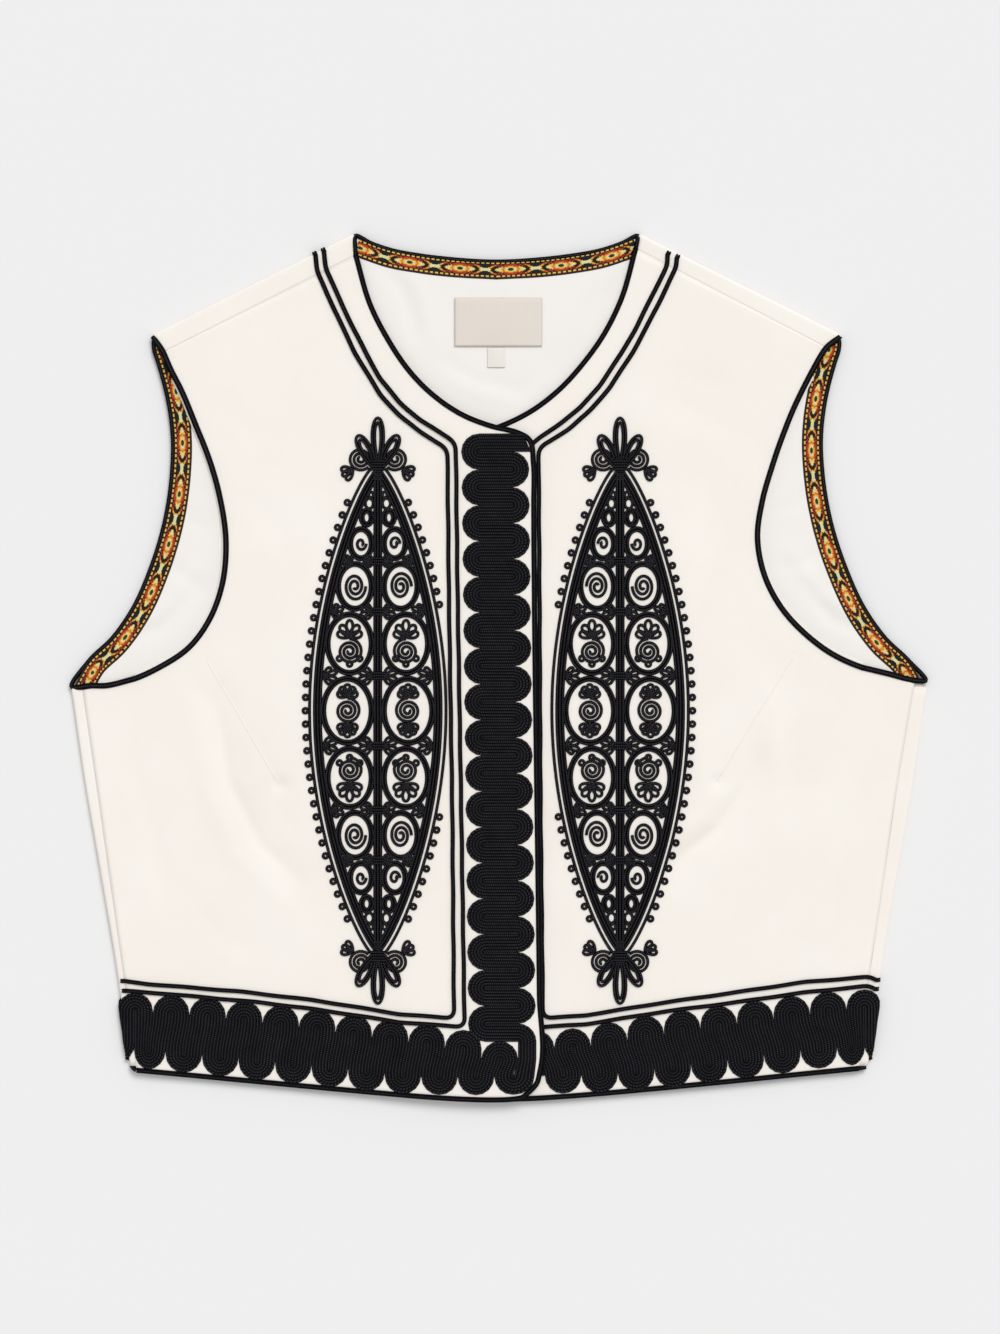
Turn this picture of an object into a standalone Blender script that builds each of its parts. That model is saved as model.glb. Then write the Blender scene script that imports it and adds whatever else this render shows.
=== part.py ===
"""A sleeveless folk vest lying flat on its back, front side up.

Cream twill with black corded borders. +X is the picture's right (the wearer's left),
+Y runs up to the neck and +Z points away from the surface that the vest lies on.
Sizes in this file are in millimetres until MM turns them into metres.
"""

import math
from collections import namedtuple

import bmesh
import bpy
from mathutils import Vector

MM = 0.001

# Wall thicknesses and the stack of layers, from the surface upwards
CLOTH = 1.2
LINING = 1.0
TAPE = 1.0
GAP = 0.3
LINING_TOP = CLOTH + GAP + LINING
FRONT_TOP = LINING_TOP + GAP + CLOTH
FOLD_RADIUS = FRONT_TOP / 2
FOLD_STEPS = 5

# Trimmings
BINDING_RADIUS = 1.2
CORD_RADIUS = 1.1
BRAID_HEIGHT = 1.1
TAPE_WIDTH = 7.4
TAPE_UNDERARM = -16.0
TAPE_NECK_END = 4.0
TAPE_TIP_END = 8.0
LINING_HEM_LIFT = 5.0
EDGE_INSET = BINDING_RADIUS + GAP
BACK_SHOULDER_END = EDGE_INSET + 1.2
LAYER_FOLD_INSET = 0.4
BACK_BINDING_Z = BINDING_RADIUS + 0.1

# The wearer's right front laps over the left one by this much height, rising softly
LAP_RISE = 2.4
LAP_START_X = -87.0
LAP_FULL_X = -27.0

# The air under each front, fullest below the dart tips
CROWN = 2.2
CROWN_X = 95.0
CROWN_Y = -25.0
CROWN_HALF_WIDTH = 62.0
CROWN_HALF_LENGTH = 105.0

# The upper body lies a little to the picture's left of the hem
LEAN = -1.4
LEAN_FROM_Y = -20.0
LEAN_LENGTH = 200.0

COLUMNS = 13
BACK_COLUMNS = 4
CORD_SPACING = 17.0

# Rows of a front from the hem to the shoulder seam. The inner end follows the front and
# neck edge, the outer end follows the side seam, then the armhole. Bow is how far the row
# dips below a straight line, and steps is how many strips of cloth the row starts.
FrontRow = namedtuple("FrontRow", "inner_x inner_y outer_x outer_y bow steps")
RIGHT_SEAM_ROWS = (
    FrontRow(14.9, -234.9, -199.4, -221.9, 4.8, 1),
    FrontRow(20.4, -229.4, -200.2, -217.0, 4.4, 1),
    FrontRow(22.6, -221.7, -201.2, -210.0, 4.0, 2),
    FrontRow(22.2, -180.0, -206.5, -172.0, 2.0, 3),
    FrontRow(21.6, -130.0, -212.5, -130.0, 0.0, 5),
    FrontRow(20.0, -12.0, -229.4, -12.7, 0.0, 1),
)
RIGHT_ARMHOLE_ROWS = (
    FrontRow(19.9, -5.0, -217.0, -10.3, 0.0, 1),
    FrontRow(19.8, 3.0, -201.0, -6.6, 0.0, 1),
    FrontRow(19.7, 11.0, -186.5, 0.0, 0.0, 1),
    FrontRow(19.6, 20.0, -170.0, 11.3, 0.0, 1),
    FrontRow(19.5, 31.0, -159.0, 26.7, 0.0, 1),
    FrontRow(19.4, 45.0, -152.5, 44.5, 0.0, 1),
    FrontRow(19.2, 66.0, -150.2, 68.0, 0.0, 1),
    FrontRow(19.1, 90.0, -153.5, 93.0, 0.0, 1),
    FrontRow(18.9, 112.0, -158.5, 111.5, 0.0, 1),
    FrontRow(16.8, 124.8, -162.5, 122.5, 0.0, 1),
    FrontRow(10.5, 128.7, -165.8, 130.5, 0.0, 1),
    FrontRow(-5.0, 132.6, -169.0, 138.5, 0.0, 1),
    FrontRow(-22.0, 139.6, -172.2, 146.4, 0.0, 1),
    FrontRow(-38.0, 151.0, -175.2, 153.2, 0.0, 1),
    FrontRow(-50.0, 163.6, -178.2, 159.0, 0.0, 1),
    FrontRow(-61.0, 180.0, -180.9, 164.4, 0.0, 1),
    FrontRow(-71.0, 199.7, -183.0, 169.2, 0.0, 1),
    FrontRow(-78.9, 226.8, -184.8, 173.3, 0.0, 0),
)
LEFT_SEAM_ROWS = (
    FrontRow(-14.9, -234.9, 198.1, -220.9, 4.8, 1),
    FrontRow(-20.4, -229.4, 198.9, -216.0, 4.4, 1),
    FrontRow(-22.6, -221.7, 199.8, -209.0, 4.0, 2),
    FrontRow(-22.5, -180.0, 203.6, -172.0, 2.0, 3),
    FrontRow(-22.5, -130.0, 209.8, -130.0, 0.0, 3),
    FrontRow(-22.4, -62.7, 219.5, -62.7, 0.0, 2),
    FrontRow(-22.4, -12.0, 228.6, -9.2, 0.0, 1),
)
LEFT_ARMHOLE_ROWS = (
    FrontRow(-22.4, -5.0, 215.0, -3.9, 0.0, 1),
    FrontRow(-22.4, 4.0, 200.0, -0.3, 0.0, 1),
    FrontRow(-22.4, 14.0, 184.0, 6.8, 0.0, 1),
    FrontRow(-22.4, 26.0, 169.0, 17.8, 0.0, 1),
    FrontRow(-22.4, 39.0, 155.5, 32.4, 0.0, 1),
    FrontRow(-22.4, 54.0, 146.2, 50.0, 0.0, 1),
    FrontRow(-22.4, 72.0, 142.2, 71.0, 0.0, 1),
    FrontRow(-22.4, 92.0, 145.0, 92.0, 0.0, 1),
    FrontRow(-22.3, 112.0, 150.0, 109.5, 0.0, 1),
    FrontRow(-20.8, 124.8, 154.0, 121.5, 0.0, 1),
    FrontRow(-14.9, 128.7, 157.3, 130.4, 0.0, 1),
    FrontRow(-4.0, 130.8, 160.8, 139.2, 0.0, 1),
    FrontRow(17.0, 140.3, 164.4, 147.2, 0.0, 1),
    FrontRow(33.5, 152.9, 168.0, 154.5, 0.0, 1),
    FrontRow(46.0, 166.6, 171.3, 160.9, 0.0, 1),
    FrontRow(57.5, 182.6, 174.2, 166.3, 0.0, 1),
    FrontRow(67.5, 202.9, 177.0, 171.2, 0.0, 1),
    FrontRow(75.3, 230.5, 180.2, 175.8, 0.0, 0),
)

# Rows of one half of the back, from the hem to the shoulder fold. The inner end follows the
# middle and then the neck edge, the outer end follows the side fold, then the armhole.
BackRow = namedtuple("BackRow", "inner_x inner_y outer_x outer_y bow")
BACK_SIDE_ROWS = (
    BackRow(0.0, -235.0, 203.2, -219.5, 3.0),
    BackRow(0.0, -202.0, 206.3, -196.0, 1.5),
    BackRow(0.0, -170.0, 210.4, -167.0, 0.0),
    BackRow(0.0, -110.0, 220.0, -110.0, 0.0),
    BackRow(0.0, -62.0, 228.2, -62.0, 0.0),
    BackRow(0.0, -12.0, 235.6, -11.0, 0.0),
)
BACK_ARMHOLE_ROWS = (
    BackRow(0.0, 4.0, 226.0, 3.2, 0.0),
    BackRow(0.0, 22.0, 213.0, 15.8, 0.0),
    BackRow(0.0, 42.0, 202.4, 30.6, 0.0),
    BackRow(0.0, 66.0, 191.0, 55.5, 0.0),
    BackRow(0.0, 92.0, 183.2, 81.0, 0.0),
    BackRow(0.0, 118.0, 179.2, 106.5, 0.0),
    BackRow(0.0, 144.0, 178.5, 126.0, 0.0),
    BackRow(0.0, 172.0, 180.8, 146.0, 0.0),
    BackRow(0.0, 200.0, 184.2, 160.5, 0.0),
    BackRow(0.0, 223.3, 186.9, 169.5, 0.0),
    BackRow(25.0, 224.7, 188.4, 174.0, 0.0),
    BackRow(42.0, 226.7, 188.8, 176.6, 0.0),
    BackRow(58.0, 229.7, 188.9, 178.9, 0.0),
    BackRow(69.0, 233.4, 188.6, 180.8, 0.0),
)
NECK_ROW = 9
SHOULDER_NECK_END = (78.9, 238.4)
SHOULDER_TIP = (190.0, 182.8)

# The largest troughs in the fronts: a line, how deep, how wide
Trough = namedtuple("Trough", "start_x start_y bend_x bend_y end_x end_y depth half_width")
TROUGHS = (
    Trough(-155.0, -20.0, -147.0, -66.0, -112.0, -116.0, 0.9, 11.0),
    Trough(142.0, -58.0, 121.0, -90.0, 90.0, -112.0, 0.7, 10.0),
    Trough(163.0, -16.0, 160.0, -40.0, 159.0, -64.0, 0.6, 12.0),
    Trough(-104.0, -60.0, -100.0, -70.0, -96.0, -80.0, 0.4, 9.0),
)

# Double cords: round the neck, down the front and along the hem. Each point is where the
# cord's middle passes, from the shoulder fold to the side fold.
RIGHT_OUTER_CORD = (
    (-101.2, 226.6), (-100.1, 218.4), (-98.5, 212.9), (-91.9, 199.7), (-85.8, 186.5),
    (-79.5, 173.3), (-65.5, 149.9), (-54.5, 138.1), (-43.5, 129.3), (-30.5, 121.4),
    (-28.5, 118.2), (-27.6, 40.0), (-26.2, -80.0), (-25.0, -190.6), (-27.4, -192.8),
    (-54.5, -190.9), (-102.3, -183.2), (-142.5, -178.5), (-193.6, -174.4), (-206.4, -172.8),
)
RIGHT_INNER_CORD = (
    (-96.2, 228.6), (-94.6, 220.0), (-92.7, 212.9), (-86.4, 199.7), (-80.3, 186.5),
    (-73.4, 173.3), (-65.5, 158.7), (-54.5, 145.2), (-43.5, 135.9), (-25.0, 124.4),
    (-23.0, 121.2), (-22.0, 40.0), (-20.3, -80.0), (-18.9, -195.4), (-21.3, -197.6),
    (-54.5, -195.3), (-102.3, -188.1), (-132.6, -184.4), (-183.4, -179.8), (-205.6, -178.2),
)
LEFT_OUTER_CORD = (
    (97.9, 225.0), (97.3, 219.5), (93.8, 212.9), (87.7, 199.7), (80.9, 186.5),
    (73.7, 173.3), (61.0, 153.7), (50.0, 141.1), (39.0, 131.2), (26.0, 122.4),
    (24.0, 119.0), (24.4, 40.0), (24.9, -80.0), (25.4, -190.9), (27.8, -193.1),
    (47.3, -191.7), (91.3, -184.5), (129.8, -179.0), (168.3, -173.3), (207.6, -170.9),
)
LEFT_INNER_CORD = (
    (92.9, 227.0), (91.3, 219.5), (88.3, 212.9), (82.0, 199.7), (75.4, 186.5),
    (66.9, 171.9), (55.6, 155.1), (44.6, 142.5), (33.6, 133.9), (23.4, 127.0),
)
LEFT_LOWER_CORD = (
    (24.6, -198.0), (47.3, -196.6), (91.3, -189.5), (129.8, -184.5), (168.3, -179.0),
    (206.8, -175.6),
)

# Meandering braid down the front edge and along the hem
LOBE_RADIUS = 10.0
NOTCH_DEPTH = 8.0
PLACKET_TOP = 126.2
PLACKET_BOTTOM = -200.0
PLACKET_WIDTH = 37.4
PLACKET_TOP_X = -2.2
PLACKET_BOTTOM_X = 1.7
PLACKET_PITCH = 19.65
PLACKET_LEFT_LOBE = 118.4
PLACKET_RIGHT_LOBE = 108.6
HEM_PITCH = 20.15
HEM_TOP_LOBE = 0.4
HEM_BOTTOM_LOBE = 10.4
BRAID_STATION = 3.0
HemLine = namedtuple("HemLine", "x top bottom")
HEM_LINE = (
    HemLine(-22.0, -206.0, -233.6),
    HemLine(1.0, -206.0, -234.6),
    HemLine(20.6, -200.6, -234.2),
    HemLine(40.7, -198.8, -233.0),
    HemLine(62.0, -196.2, -231.2),
    HemLine(100.6, -190.6, -227.6),
    HemLine(141.0, -186.2, -224.0),
    HemLine(210.0, -180.8, -219.0),
)

# Almond medallion of ring scrolls on each front
MEDALLION_X = 66.6
MEDALLION_Y = -24.0
ALMOND_HALF_WIDTH = 35.6
ALMOND_HALF_LENGTH = 134.0
ALMOND_POWER = 0.72
FRAME_BAND = 4.5
STEM_BAND = 4.5
SCROLL_BAND = 5.2
SCROLL_STRETCH = 1.3
SCROLL_JOIN = 0.5
FLAT_ANGLE = math.radians(0.5)
LONGEST_EDGE = 24.0
SCROLL_SPACE = 0.9
SCROLL_LEVELS = 3
RING_SIDES = 9
FRAME_STEPS = 18
STEM_STEPS = 16
FINIAL_SCROLL_RADIUS = 8.0
FINIAL_SCROLL_BAND = 3.4
FINIAL_SCROLL_OUT = 9.7
FINIAL_SCROLL_UP = 141.5
PETAL_ROOT = 131.0
PETAL_LENGTH = 31.0
SIDE_PETAL_LENGTH = 25.0
PETAL_HALF_WIDTH = 3.6
PETAL_FAN = math.radians(38.0)
PETAL_WIDTHS = ((0.0, 0.45), (0.3, 0.8), (0.6, 1.0), (0.85, 0.7), (1.0, 0.2))

# Woven labels inside the back neck, left blank
LABEL_CENTRE = (-0.4, 190.0)
LABEL_SIZE = (48.4, 26.8)
LABEL_THICK = 0.6
TAB_CENTRE = (-1.5, 170.4)
TAB_SIZE = (9.9, 11.0)


def smooth(t):
    """0 before 0, 1 after 1, with no corner at either."""
    t = min(max(t, 0.0), 1.0)
    return t * t * (3 - 2 * t)


def lean(y):
    return LEAN * smooth((y - LEAN_FROM_Y) / LEAN_LENGTH)


def lerp(a, b, t):
    return a + (b - a) * t


def distance_to_line(x, y, start, end):
    """(distance, how far along) from a point to a straight line in plan."""
    along = Vector((end[0] - start[0], end[1] - start[1]))
    offset = Vector((x - start[0], y - start[1]))
    t = min(max(offset.dot(along) / along.length_squared, 0.0), 1.0)
    return (offset - along * t).length, t


def trough_depth(x, y):
    total = 0.0
    for fold in TROUGHS:
        start, bend = (fold.start_x, fold.start_y), (fold.bend_x, fold.bend_y)
        end = (fold.end_x, fold.end_y)
        near = min(distance_to_line(x, y, start, bend)[0], distance_to_line(x, y, bend, end)[0])
        total += fold.depth * math.exp(-((near / fold.half_width) ** 2))
    return total


def crown(x, y):
    across = (abs(x) - CROWN_X) / CROWN_HALF_WIDTH
    along = (y - CROWN_Y) / CROWN_HALF_LENGTH
    return CROWN * math.exp(-across * across - along * along)


def left_front_z(x, y):
    """The height of the left front's right side."""
    return FRONT_TOP + crown(x, y) - trough_depth(x, y)


def right_front_z(x, y):
    """The same for the right front, which laps over the left one."""
    rise = smooth((x - LAP_START_X) / (LAP_FULL_X - LAP_START_X))
    return left_front_z(x, y) + LAP_RISE * rise


def offset_line(points, distance):
    """The line moved sideways in plan, to the left of its direction."""
    moved = []
    for i, point in enumerate(points):
        before, after = points[max(i - 1, 0)], points[min(i + 1, len(points) - 1)]
        dx, dy = after[0] - before[0], after[1] - before[1]
        length = math.hypot(dx, dy)
        moved.append((point[0] - dy / length * distance, point[1] + dx / length * distance))
    return moved


def smooth_line(points, spacing):
    """A smooth curve through points of a plan, with a point about every spacing."""
    ends = [points[0], *points, points[-1]]
    line = []
    for i in range(1, len(ends) - 2):
        a, b, c, d = (Vector(p) for p in ends[i - 1:i + 3])
        count = max(1, round((c - b).length / spacing))
        for k in range(count):
            t = k / count
            line.append(
                0.5 * (2 * b + (c - a) * t + (2 * a - 5 * b + 4 * c - d) * t * t
                       + (3 * b - a - 3 * c + d) * t ** 3)
            )
    line.append(Vector(points[-1]))
    return line


def make_material(name, colour, roughness):
    material = bpy.data.materials.new(name)
    material.use_nodes = True
    surface = material.node_tree.nodes["Principled BSDF"]
    surface.inputs["Base Color"].default_value = (*colour, 1.0)
    surface.inputs["Roughness"].default_value = roughness
    surface.inputs["Metallic"].default_value = 0.0
    return material


def add_object(name, mesh, material):
    obj = bpy.data.objects.new(name, mesh)
    mesh.materials.append(material)
    vest.objects.link(obj)
    return obj


def mesh_of(name, points, faces):
    """A mesh from points in millimetres, with points that coincide made one."""
    mesh = bpy.data.meshes.new(name)
    shape = bmesh.new()
    verts = [shape.verts.new([value * MM for value in point]) for point in points]
    for face in faces:
        shape.faces.new([verts[i] for i in face])
    bmesh.ops.remove_doubles(shape, verts=shape.verts, dist=1e-6)
    shape.to_mesh(mesh)
    shape.free()
    return mesh


def grid_faces(rows, columns, first=0, flip=False):
    """Quads over a grid of points that were added row by row."""
    faces = []
    for i in range(rows - 1):
        for j in range(columns - 1):
            a = first + i * columns + j
            quad = [a, a + 1, a + columns + 1, a + columns]
            faces.append(quad[::-1] if flip else quad)
    return faces


def wall(name, points, faces, thickness, material):
    """A sheet given its thickness on the side that its faces look away from."""
    obj = add_object(name, mesh_of(name, points, faces), material)
    solidify = obj.modifiers.new("Wall", "SOLIDIFY")
    solidify.thickness = thickness * MM
    solidify.offset = -1.0
    return obj


def tube(name, points, radius, material, closed=False):
    """A round cord or rolled binding along points in millimetres."""
    curve = bpy.data.curves.new(name, "CURVE")
    curve.dimensions = "3D"
    curve.bevel_depth = radius * MM
    curve.bevel_resolution = 1
    curve.use_fill_caps = not closed
    spline = curve.splines.new("POLY")
    spline.points.add(len(points) - 1)
    for spot, point in zip(spline.points, points):
        spot.co = (*[value * MM for value in point], 1.0)
    spline.use_cyclic_u = closed
    obj = bpy.data.objects.new(name, curve)
    curve.materials.append(material)
    vest.objects.link(obj)
    return obj


def prism(name, rows, material, z_of):
    """A slab over pairs of plan points, its underside a gap above the height z_of."""
    points = []
    for pair in rows:
        for lift in (GAP, GAP + BRAID_HEIGHT):
            points += [(x, y, z_of(x, y) + lift) for x, y in pair]
    faces = []
    for i in range(len(rows) - 1):
        a, b = 4 * i, 4 * i + 4
        faces += [
            (a, a + 1, b + 1, b), (a + 2, b + 2, b + 3, a + 3),
            (a, b, b + 2, a + 2), (a + 1, a + 3, b + 3, b + 1),
        ]
    last = 4 * (len(rows) - 1)
    faces += [(0, 2, 3, 1), (last, last + 1, last + 3, last + 2)]
    mesh = mesh_of(name, points, faces)
    shape = bmesh.new()
    shape.from_mesh(mesh)
    bmesh.ops.recalc_face_normals(shape, faces=shape.faces)
    shape.to_mesh(mesh)
    shape.free()
    return add_object(name, mesh, material)


def spread_rows(rows):
    """The table's rows with the straight stretches between them filled in."""
    spread = []
    for row, following in zip(rows, rows[1:]):
        for k in range(row.steps):
            spread.append(FrontRow(*(lerp(a, b, k / row.steps) for a, b in zip(row, following))))
    spread.append(rows[-1])
    return spread


def bow_at(bow, t):
    """How far a row with this bow dips at t, deepest near the front edge."""
    return bow * math.sin(math.pi * t ** 0.45)


def front_lines(seam_rows, armhole_rows):
    """The edge lines of a front: its front and neck edge, its side seam and its armhole."""
    inner = [(r.inner_x, r.inner_y) for r in spread_rows(seam_rows + armhole_rows)]
    seam = [(r.outer_x, r.outer_y) for r in spread_rows(seam_rows)]
    armhole = [(r.outer_x, r.outer_y) for r in spread_rows(armhole_rows)]
    return inner, seam, armhole


def shoulder_seam(armhole_rows, shift):
    """The ends of a shoulder seam between its two bindings, moved up the body by shift."""
    last = armhole_rows[-1]
    start, end = Vector((last.inner_x, last.inner_y)), Vector((last.outer_x, last.outer_y))
    inset = (end - start).normalized() * EDGE_INSET
    lift = Vector((0.0, shift))
    return start + inset + lift, end - inset + lift


def front_panel(name, seam_rows, armhole_rows, z_of, side, material):
    """One front, as a sheet between its edge lines, set in from the bindings."""
    inner, seam, armhole = front_lines(seam_rows, armhole_rows)
    inner = offset_line(inner, -side * EDGE_INSET)
    seam = offset_line(seam, side * GAP / 2)
    armhole = offset_line(armhole, side * EDGE_INSET)
    outer = seam + armhole
    inner[-1], outer[-1] = shoulder_seam(armhole_rows, -GAP / 2)
    bows = [r.bow for r in spread_rows(seam_rows + armhole_rows)]
    points = []
    for i, (start, end, bow) in enumerate(zip(inner, outer, bows)):
        lift = EDGE_INSET if i == 0 else 0.0
        for j in range(COLUMNS + 1):
            t = j / COLUMNS
            x = lerp(start[0], end[0], t)
            y = lerp(start[1], end[1], t) - bow_at(bow, t) + lift
            points.append((x, y, z_of(x, y)))
    return wall(name, points, grid_faces(len(inner), COLUMNS + 1, flip=side < 0), CLOTH, material)


def seam_x(seam_rows, y):
    """Where the side seam runs at this height up the body."""
    rows = [(r.outer_y, r.outer_x) for r in seam_rows]
    for (y0, x0), (y1, x1) in zip(rows, rows[1:]):
        if y <= y1:
            return lerp(x0, x1, (y - y0) / (y1 - y0))
    return rows[-1][1]


def shoulder_line(along_neck, along_tip):
    """The ends of the shoulder's fold line in plan, each shortened by so much."""
    neck, tip = Vector(SHOULDER_NECK_END), Vector(SHOULDER_TIP)
    step = (tip - neck).normalized()
    out = Vector((-step.y, step.x))
    return neck + step * along_neck, tip - step * along_tip, out


def back_half(underarm, neck_end, tip_end, fold_inset=0.0, hem_lift=EDGE_INSET, inset=0.0):
    """Rows of one half of the back's flat part, on the picture's right.

    The side ends at the underarm's height, and the shoulder stops short of the neck corner
    and of its tip. A further inset draws in the neck and armhole edges.
    """
    rows = BACK_SIDE_ROWS + BACK_ARMHOLE_ROWS
    first_armhole = len(BACK_SIDE_ROWS)
    neck = offset_line([(r.inner_x, r.inner_y) for r in BACK_ARMHOLE_ROWS[NECK_ROW:]], -EDGE_INSET)
    armhole = offset_line([(r.outer_x, r.outer_y) for r in BACK_ARMHOLE_ROWS], EDGE_INSET)
    neck_point, tip_point, out = shoulder_line(neck_end, tip_end)
    tangent = out * (FOLD_RADIUS + fold_inset)
    fold_end = (BACK_SIDE_ROWS[-1].outer_x - FOLD_RADIUS - fold_inset, underarm)
    neck = offset_line(neck + [tuple(neck_point - tangent)], -inset)
    armhole = [Vector(p) for p in (fold_end, *armhole, tip_point - tangent)]
    grid = []
    for i, row in enumerate(rows):
        start = Vector((row.inner_x, row.inner_y))
        end = Vector((row.outer_x - FOLD_RADIUS - fold_inset, row.outer_y))
        if i == 0:
            start.y += hem_lift
            end.y += hem_lift
        if i >= first_armhole + NECK_ROW:
            start = Vector(neck[i - first_armhole - NECK_ROW])
        if i == first_armhole + NECK_ROW:
            start.x = 0.0
        if i >= first_armhole - 1:
            k = i - first_armhole + 1
            end = drawn_in(armhole, k, start, inset)
        grid.append((start, end, row.bow))
    start = Vector(neck[-1])
    grid.append((start, drawn_in(armhole, len(armhole) - 1, start, inset), 0.0))
    return grid


def drawn_in(line, k, start, inset):
    """A point of a line moved along its own row, until it lies inset from the line."""
    edge = line[min(k + 1, len(line) - 1)] - line[max(k - 1, 0)]
    row = (start - line[k]).normalized()
    slant = abs(edge.normalized().cross(row))
    return line[k] + row * inset / max(slant, 0.6)


def plan_point(start, end, bow, t):
    spot = start.lerp(end, t)
    return spot.x, spot.y - bow * math.sin(math.pi * t ** 0.6)


def back_panel(material):
    """The back, rolled over the shoulders and round the sides onto the front."""
    points, faces = [], []
    sides = (
        (1, LEFT_SEAM_ROWS, LEFT_ARMHOLE_ROWS),
        (-1, RIGHT_SEAM_ROWS, RIGHT_ARMHOLE_ROWS),
    )
    for side, seam_rows, armhole_rows in sides:
        grid = back_half(seam_rows[-1].outer_y, BACK_SHOULDER_END, BACK_SHOULDER_END)
        first = len(points)
        for start, end, bow in grid:
            for j in range(BACK_COLUMNS + 1):
                x, y = plan_point(start, end, bow, j / BACK_COLUMNS)
                points.append((side * x + lean(y), y, 0.0))
        faces += grid_faces(len(grid), BACK_COLUMNS + 1, first, flip=side > 0)
        # The roll round the side, up to the side seam
        first = len(points)
        for start, end, bow in grid[:len(BACK_SIDE_ROWS)]:
            x, y = side * end.x + lean(end.y), end.y
            for k in range(FOLD_STEPS + 1):
                turn = math.pi * k / FOLD_STEPS
                out = side * FOLD_RADIUS * math.sin(turn)
                points.append((x + out, y, FOLD_RADIUS * (1 - math.cos(turn))))
            points.append((seam_x(seam_rows, y) + side * GAP / 2, y, FRONT_TOP))
        faces += grid_faces(len(BACK_SIDE_ROWS), FOLD_STEPS + 2, first, flip=side > 0)
        # The roll over the shoulder, down to the shoulder seam
        first = len(points)
        start, end, bow = grid[-1]
        out = shoulder_line(0.0, 0.0)[2]
        seam_start, seam_end = shoulder_seam(armhole_rows, GAP / 2)
        for j in range(BACK_COLUMNS + 1):
            t = j / BACK_COLUMNS
            x, y = plan_point(start, end, bow, t)
            middle = side * x + lean(y)
            for k in range(FOLD_STEPS + 1):
                turn = math.pi * k / FOLD_STEPS
                reach = FOLD_RADIUS * math.sin(turn)
                height = FOLD_RADIUS * (1 - math.cos(turn))
                points.append((middle + side * out.x * reach, y + out.y * reach, height))
            spot = seam_start.lerp(seam_end, t)
            points.append((spot.x, spot.y, FRONT_TOP))
        faces += grid_faces(BACK_COLUMNS + 1, FOLD_STEPS + 2, first, flip=side < 0)
    return wall("back_panel", points, faces, CLOTH, material)


def back_lining(material):
    """The lining of the back, which shows in the neck and armholes, inside the tapes."""
    points, faces = [], []
    for side in (1, -1):
        grid = back_half(
            TAPE_UNDERARM, TAPE_NECK_END, TAPE_TIP_END,
            LAYER_FOLD_INSET, LINING_HEM_LIFT, TAPE_WIDTH + GAP,
        )
        first = len(points)
        for start, end, bow in grid:
            for j in range(BACK_COLUMNS + 1):
                x, y = plan_point(start, end, bow, j / BACK_COLUMNS)
                points.append((side * x + lean(y), y, LINING_TOP))
        faces += grid_faces(len(grid), BACK_COLUMNS + 1, first, flip=side < 0)
    return wall("back_lining", points, faces, LINING, material)


def tape_strip(name, line, inner, flip, material):
    """A woven tape on the back's inside, between the line of its raw edge and its inner edge."""
    points = []
    for pair in zip(line, inner):
        points += [(x + lean(y), y, LINING_TOP) for x, y in pair]
    return wall(name, points, grid_faces(len(line), 2, flip=flip), TAPE, material)


def tapes(material):
    first = len(BACK_SIDE_ROWS)
    ends = (TAPE_UNDERARM, TAPE_NECK_END, TAPE_TIP_END)
    edge = back_half(*ends, LAYER_FOLD_INSET)
    far = back_half(*ends, LAYER_FOLD_INSET, inset=TAPE_WIDTH)
    armhole = [[tuple(row[1]) for row in grid[first - 1:]] for grid in (edge, far)]
    neck = [[tuple(row[0]) for row in grid[first + NECK_ROW:]] for grid in (edge, far)]
    tape_strip("left_armhole_tape", *armhole, True, material)
    mirrored = [[(-x, y) for x, y in line] for line in armhole]
    tape_strip("right_armhole_tape", *mirrored, False, material)
    whole = [[(-x, y) for x, y in line[::-1]] + line[1:] for line in neck]
    tape_strip("neck_tape", *whole, False, material)


def hem_line(seam_rows):
    """The hem edge of a front from its front corner to its side seam."""
    row = seam_rows[0]
    line = []
    for j in range(COLUMNS + 1):
        t = j / COLUMNS
        x = lerp(row.inner_x, row.outer_x, t)
        line.append((x, lerp(row.inner_y, row.outer_y, t) - bow_at(row.bow, t)))
    return line


def front_binding(name, seam_rows, armhole_rows, z_of, material):
    """The rolled binding from the shoulder seam down the neck and front, then the hem."""
    inner, _, _ = front_lines(seam_rows, armhole_rows)
    plan = inner[:0:-1] + hem_line(seam_rows)
    return tube(name, [(x, y, z_of(x, y)) for x, y in plan], BINDING_RADIUS, material)


def armhole_binding(name, side, seam_rows, armhole_rows, z_of, material):
    """The binding all round one armhole, over the shoulder fold and the side fold."""
    front = [(r.outer_x, r.outer_y) for r in armhole_rows]
    points = [(x, y, z_of(x, y)) for x, y in front]
    tip_y = SHOULDER_TIP[1] - 0.6
    tip_x = side * (SHOULDER_TIP[0] - 1.0) + lean(tip_y)
    last_x, last_y = front[-1]
    points.append((lerp(last_x, tip_x, 0.75), lerp(last_y, tip_y, 0.75), FRONT_TOP - 0.2))
    points.append((tip_x, tip_y, FOLD_RADIUS + 0.2))
    for row in BACK_ARMHOLE_ROWS[::-1]:
        x = side * row.outer_x + lean(row.outer_y)
        points.append((x, row.outer_y, BACK_BINDING_Z))
    underarm = seam_rows[-1].outer_y
    fold_x = side * (BACK_SIDE_ROWS[-1].outer_x - BINDING_RADIUS)
    points.append((fold_x, underarm + EDGE_INSET + 0.4, FOLD_RADIUS + 0.2))
    points.append((fold_x - side * 2.0, underarm + EDGE_INSET + 0.4, FRONT_TOP - 0.1))
    points.append((fold_x - side * 8.5, underarm + EDGE_INSET + 1.0, FRONT_TOP))
    return tube(name, points, BINDING_RADIUS, material, closed=True)


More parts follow.
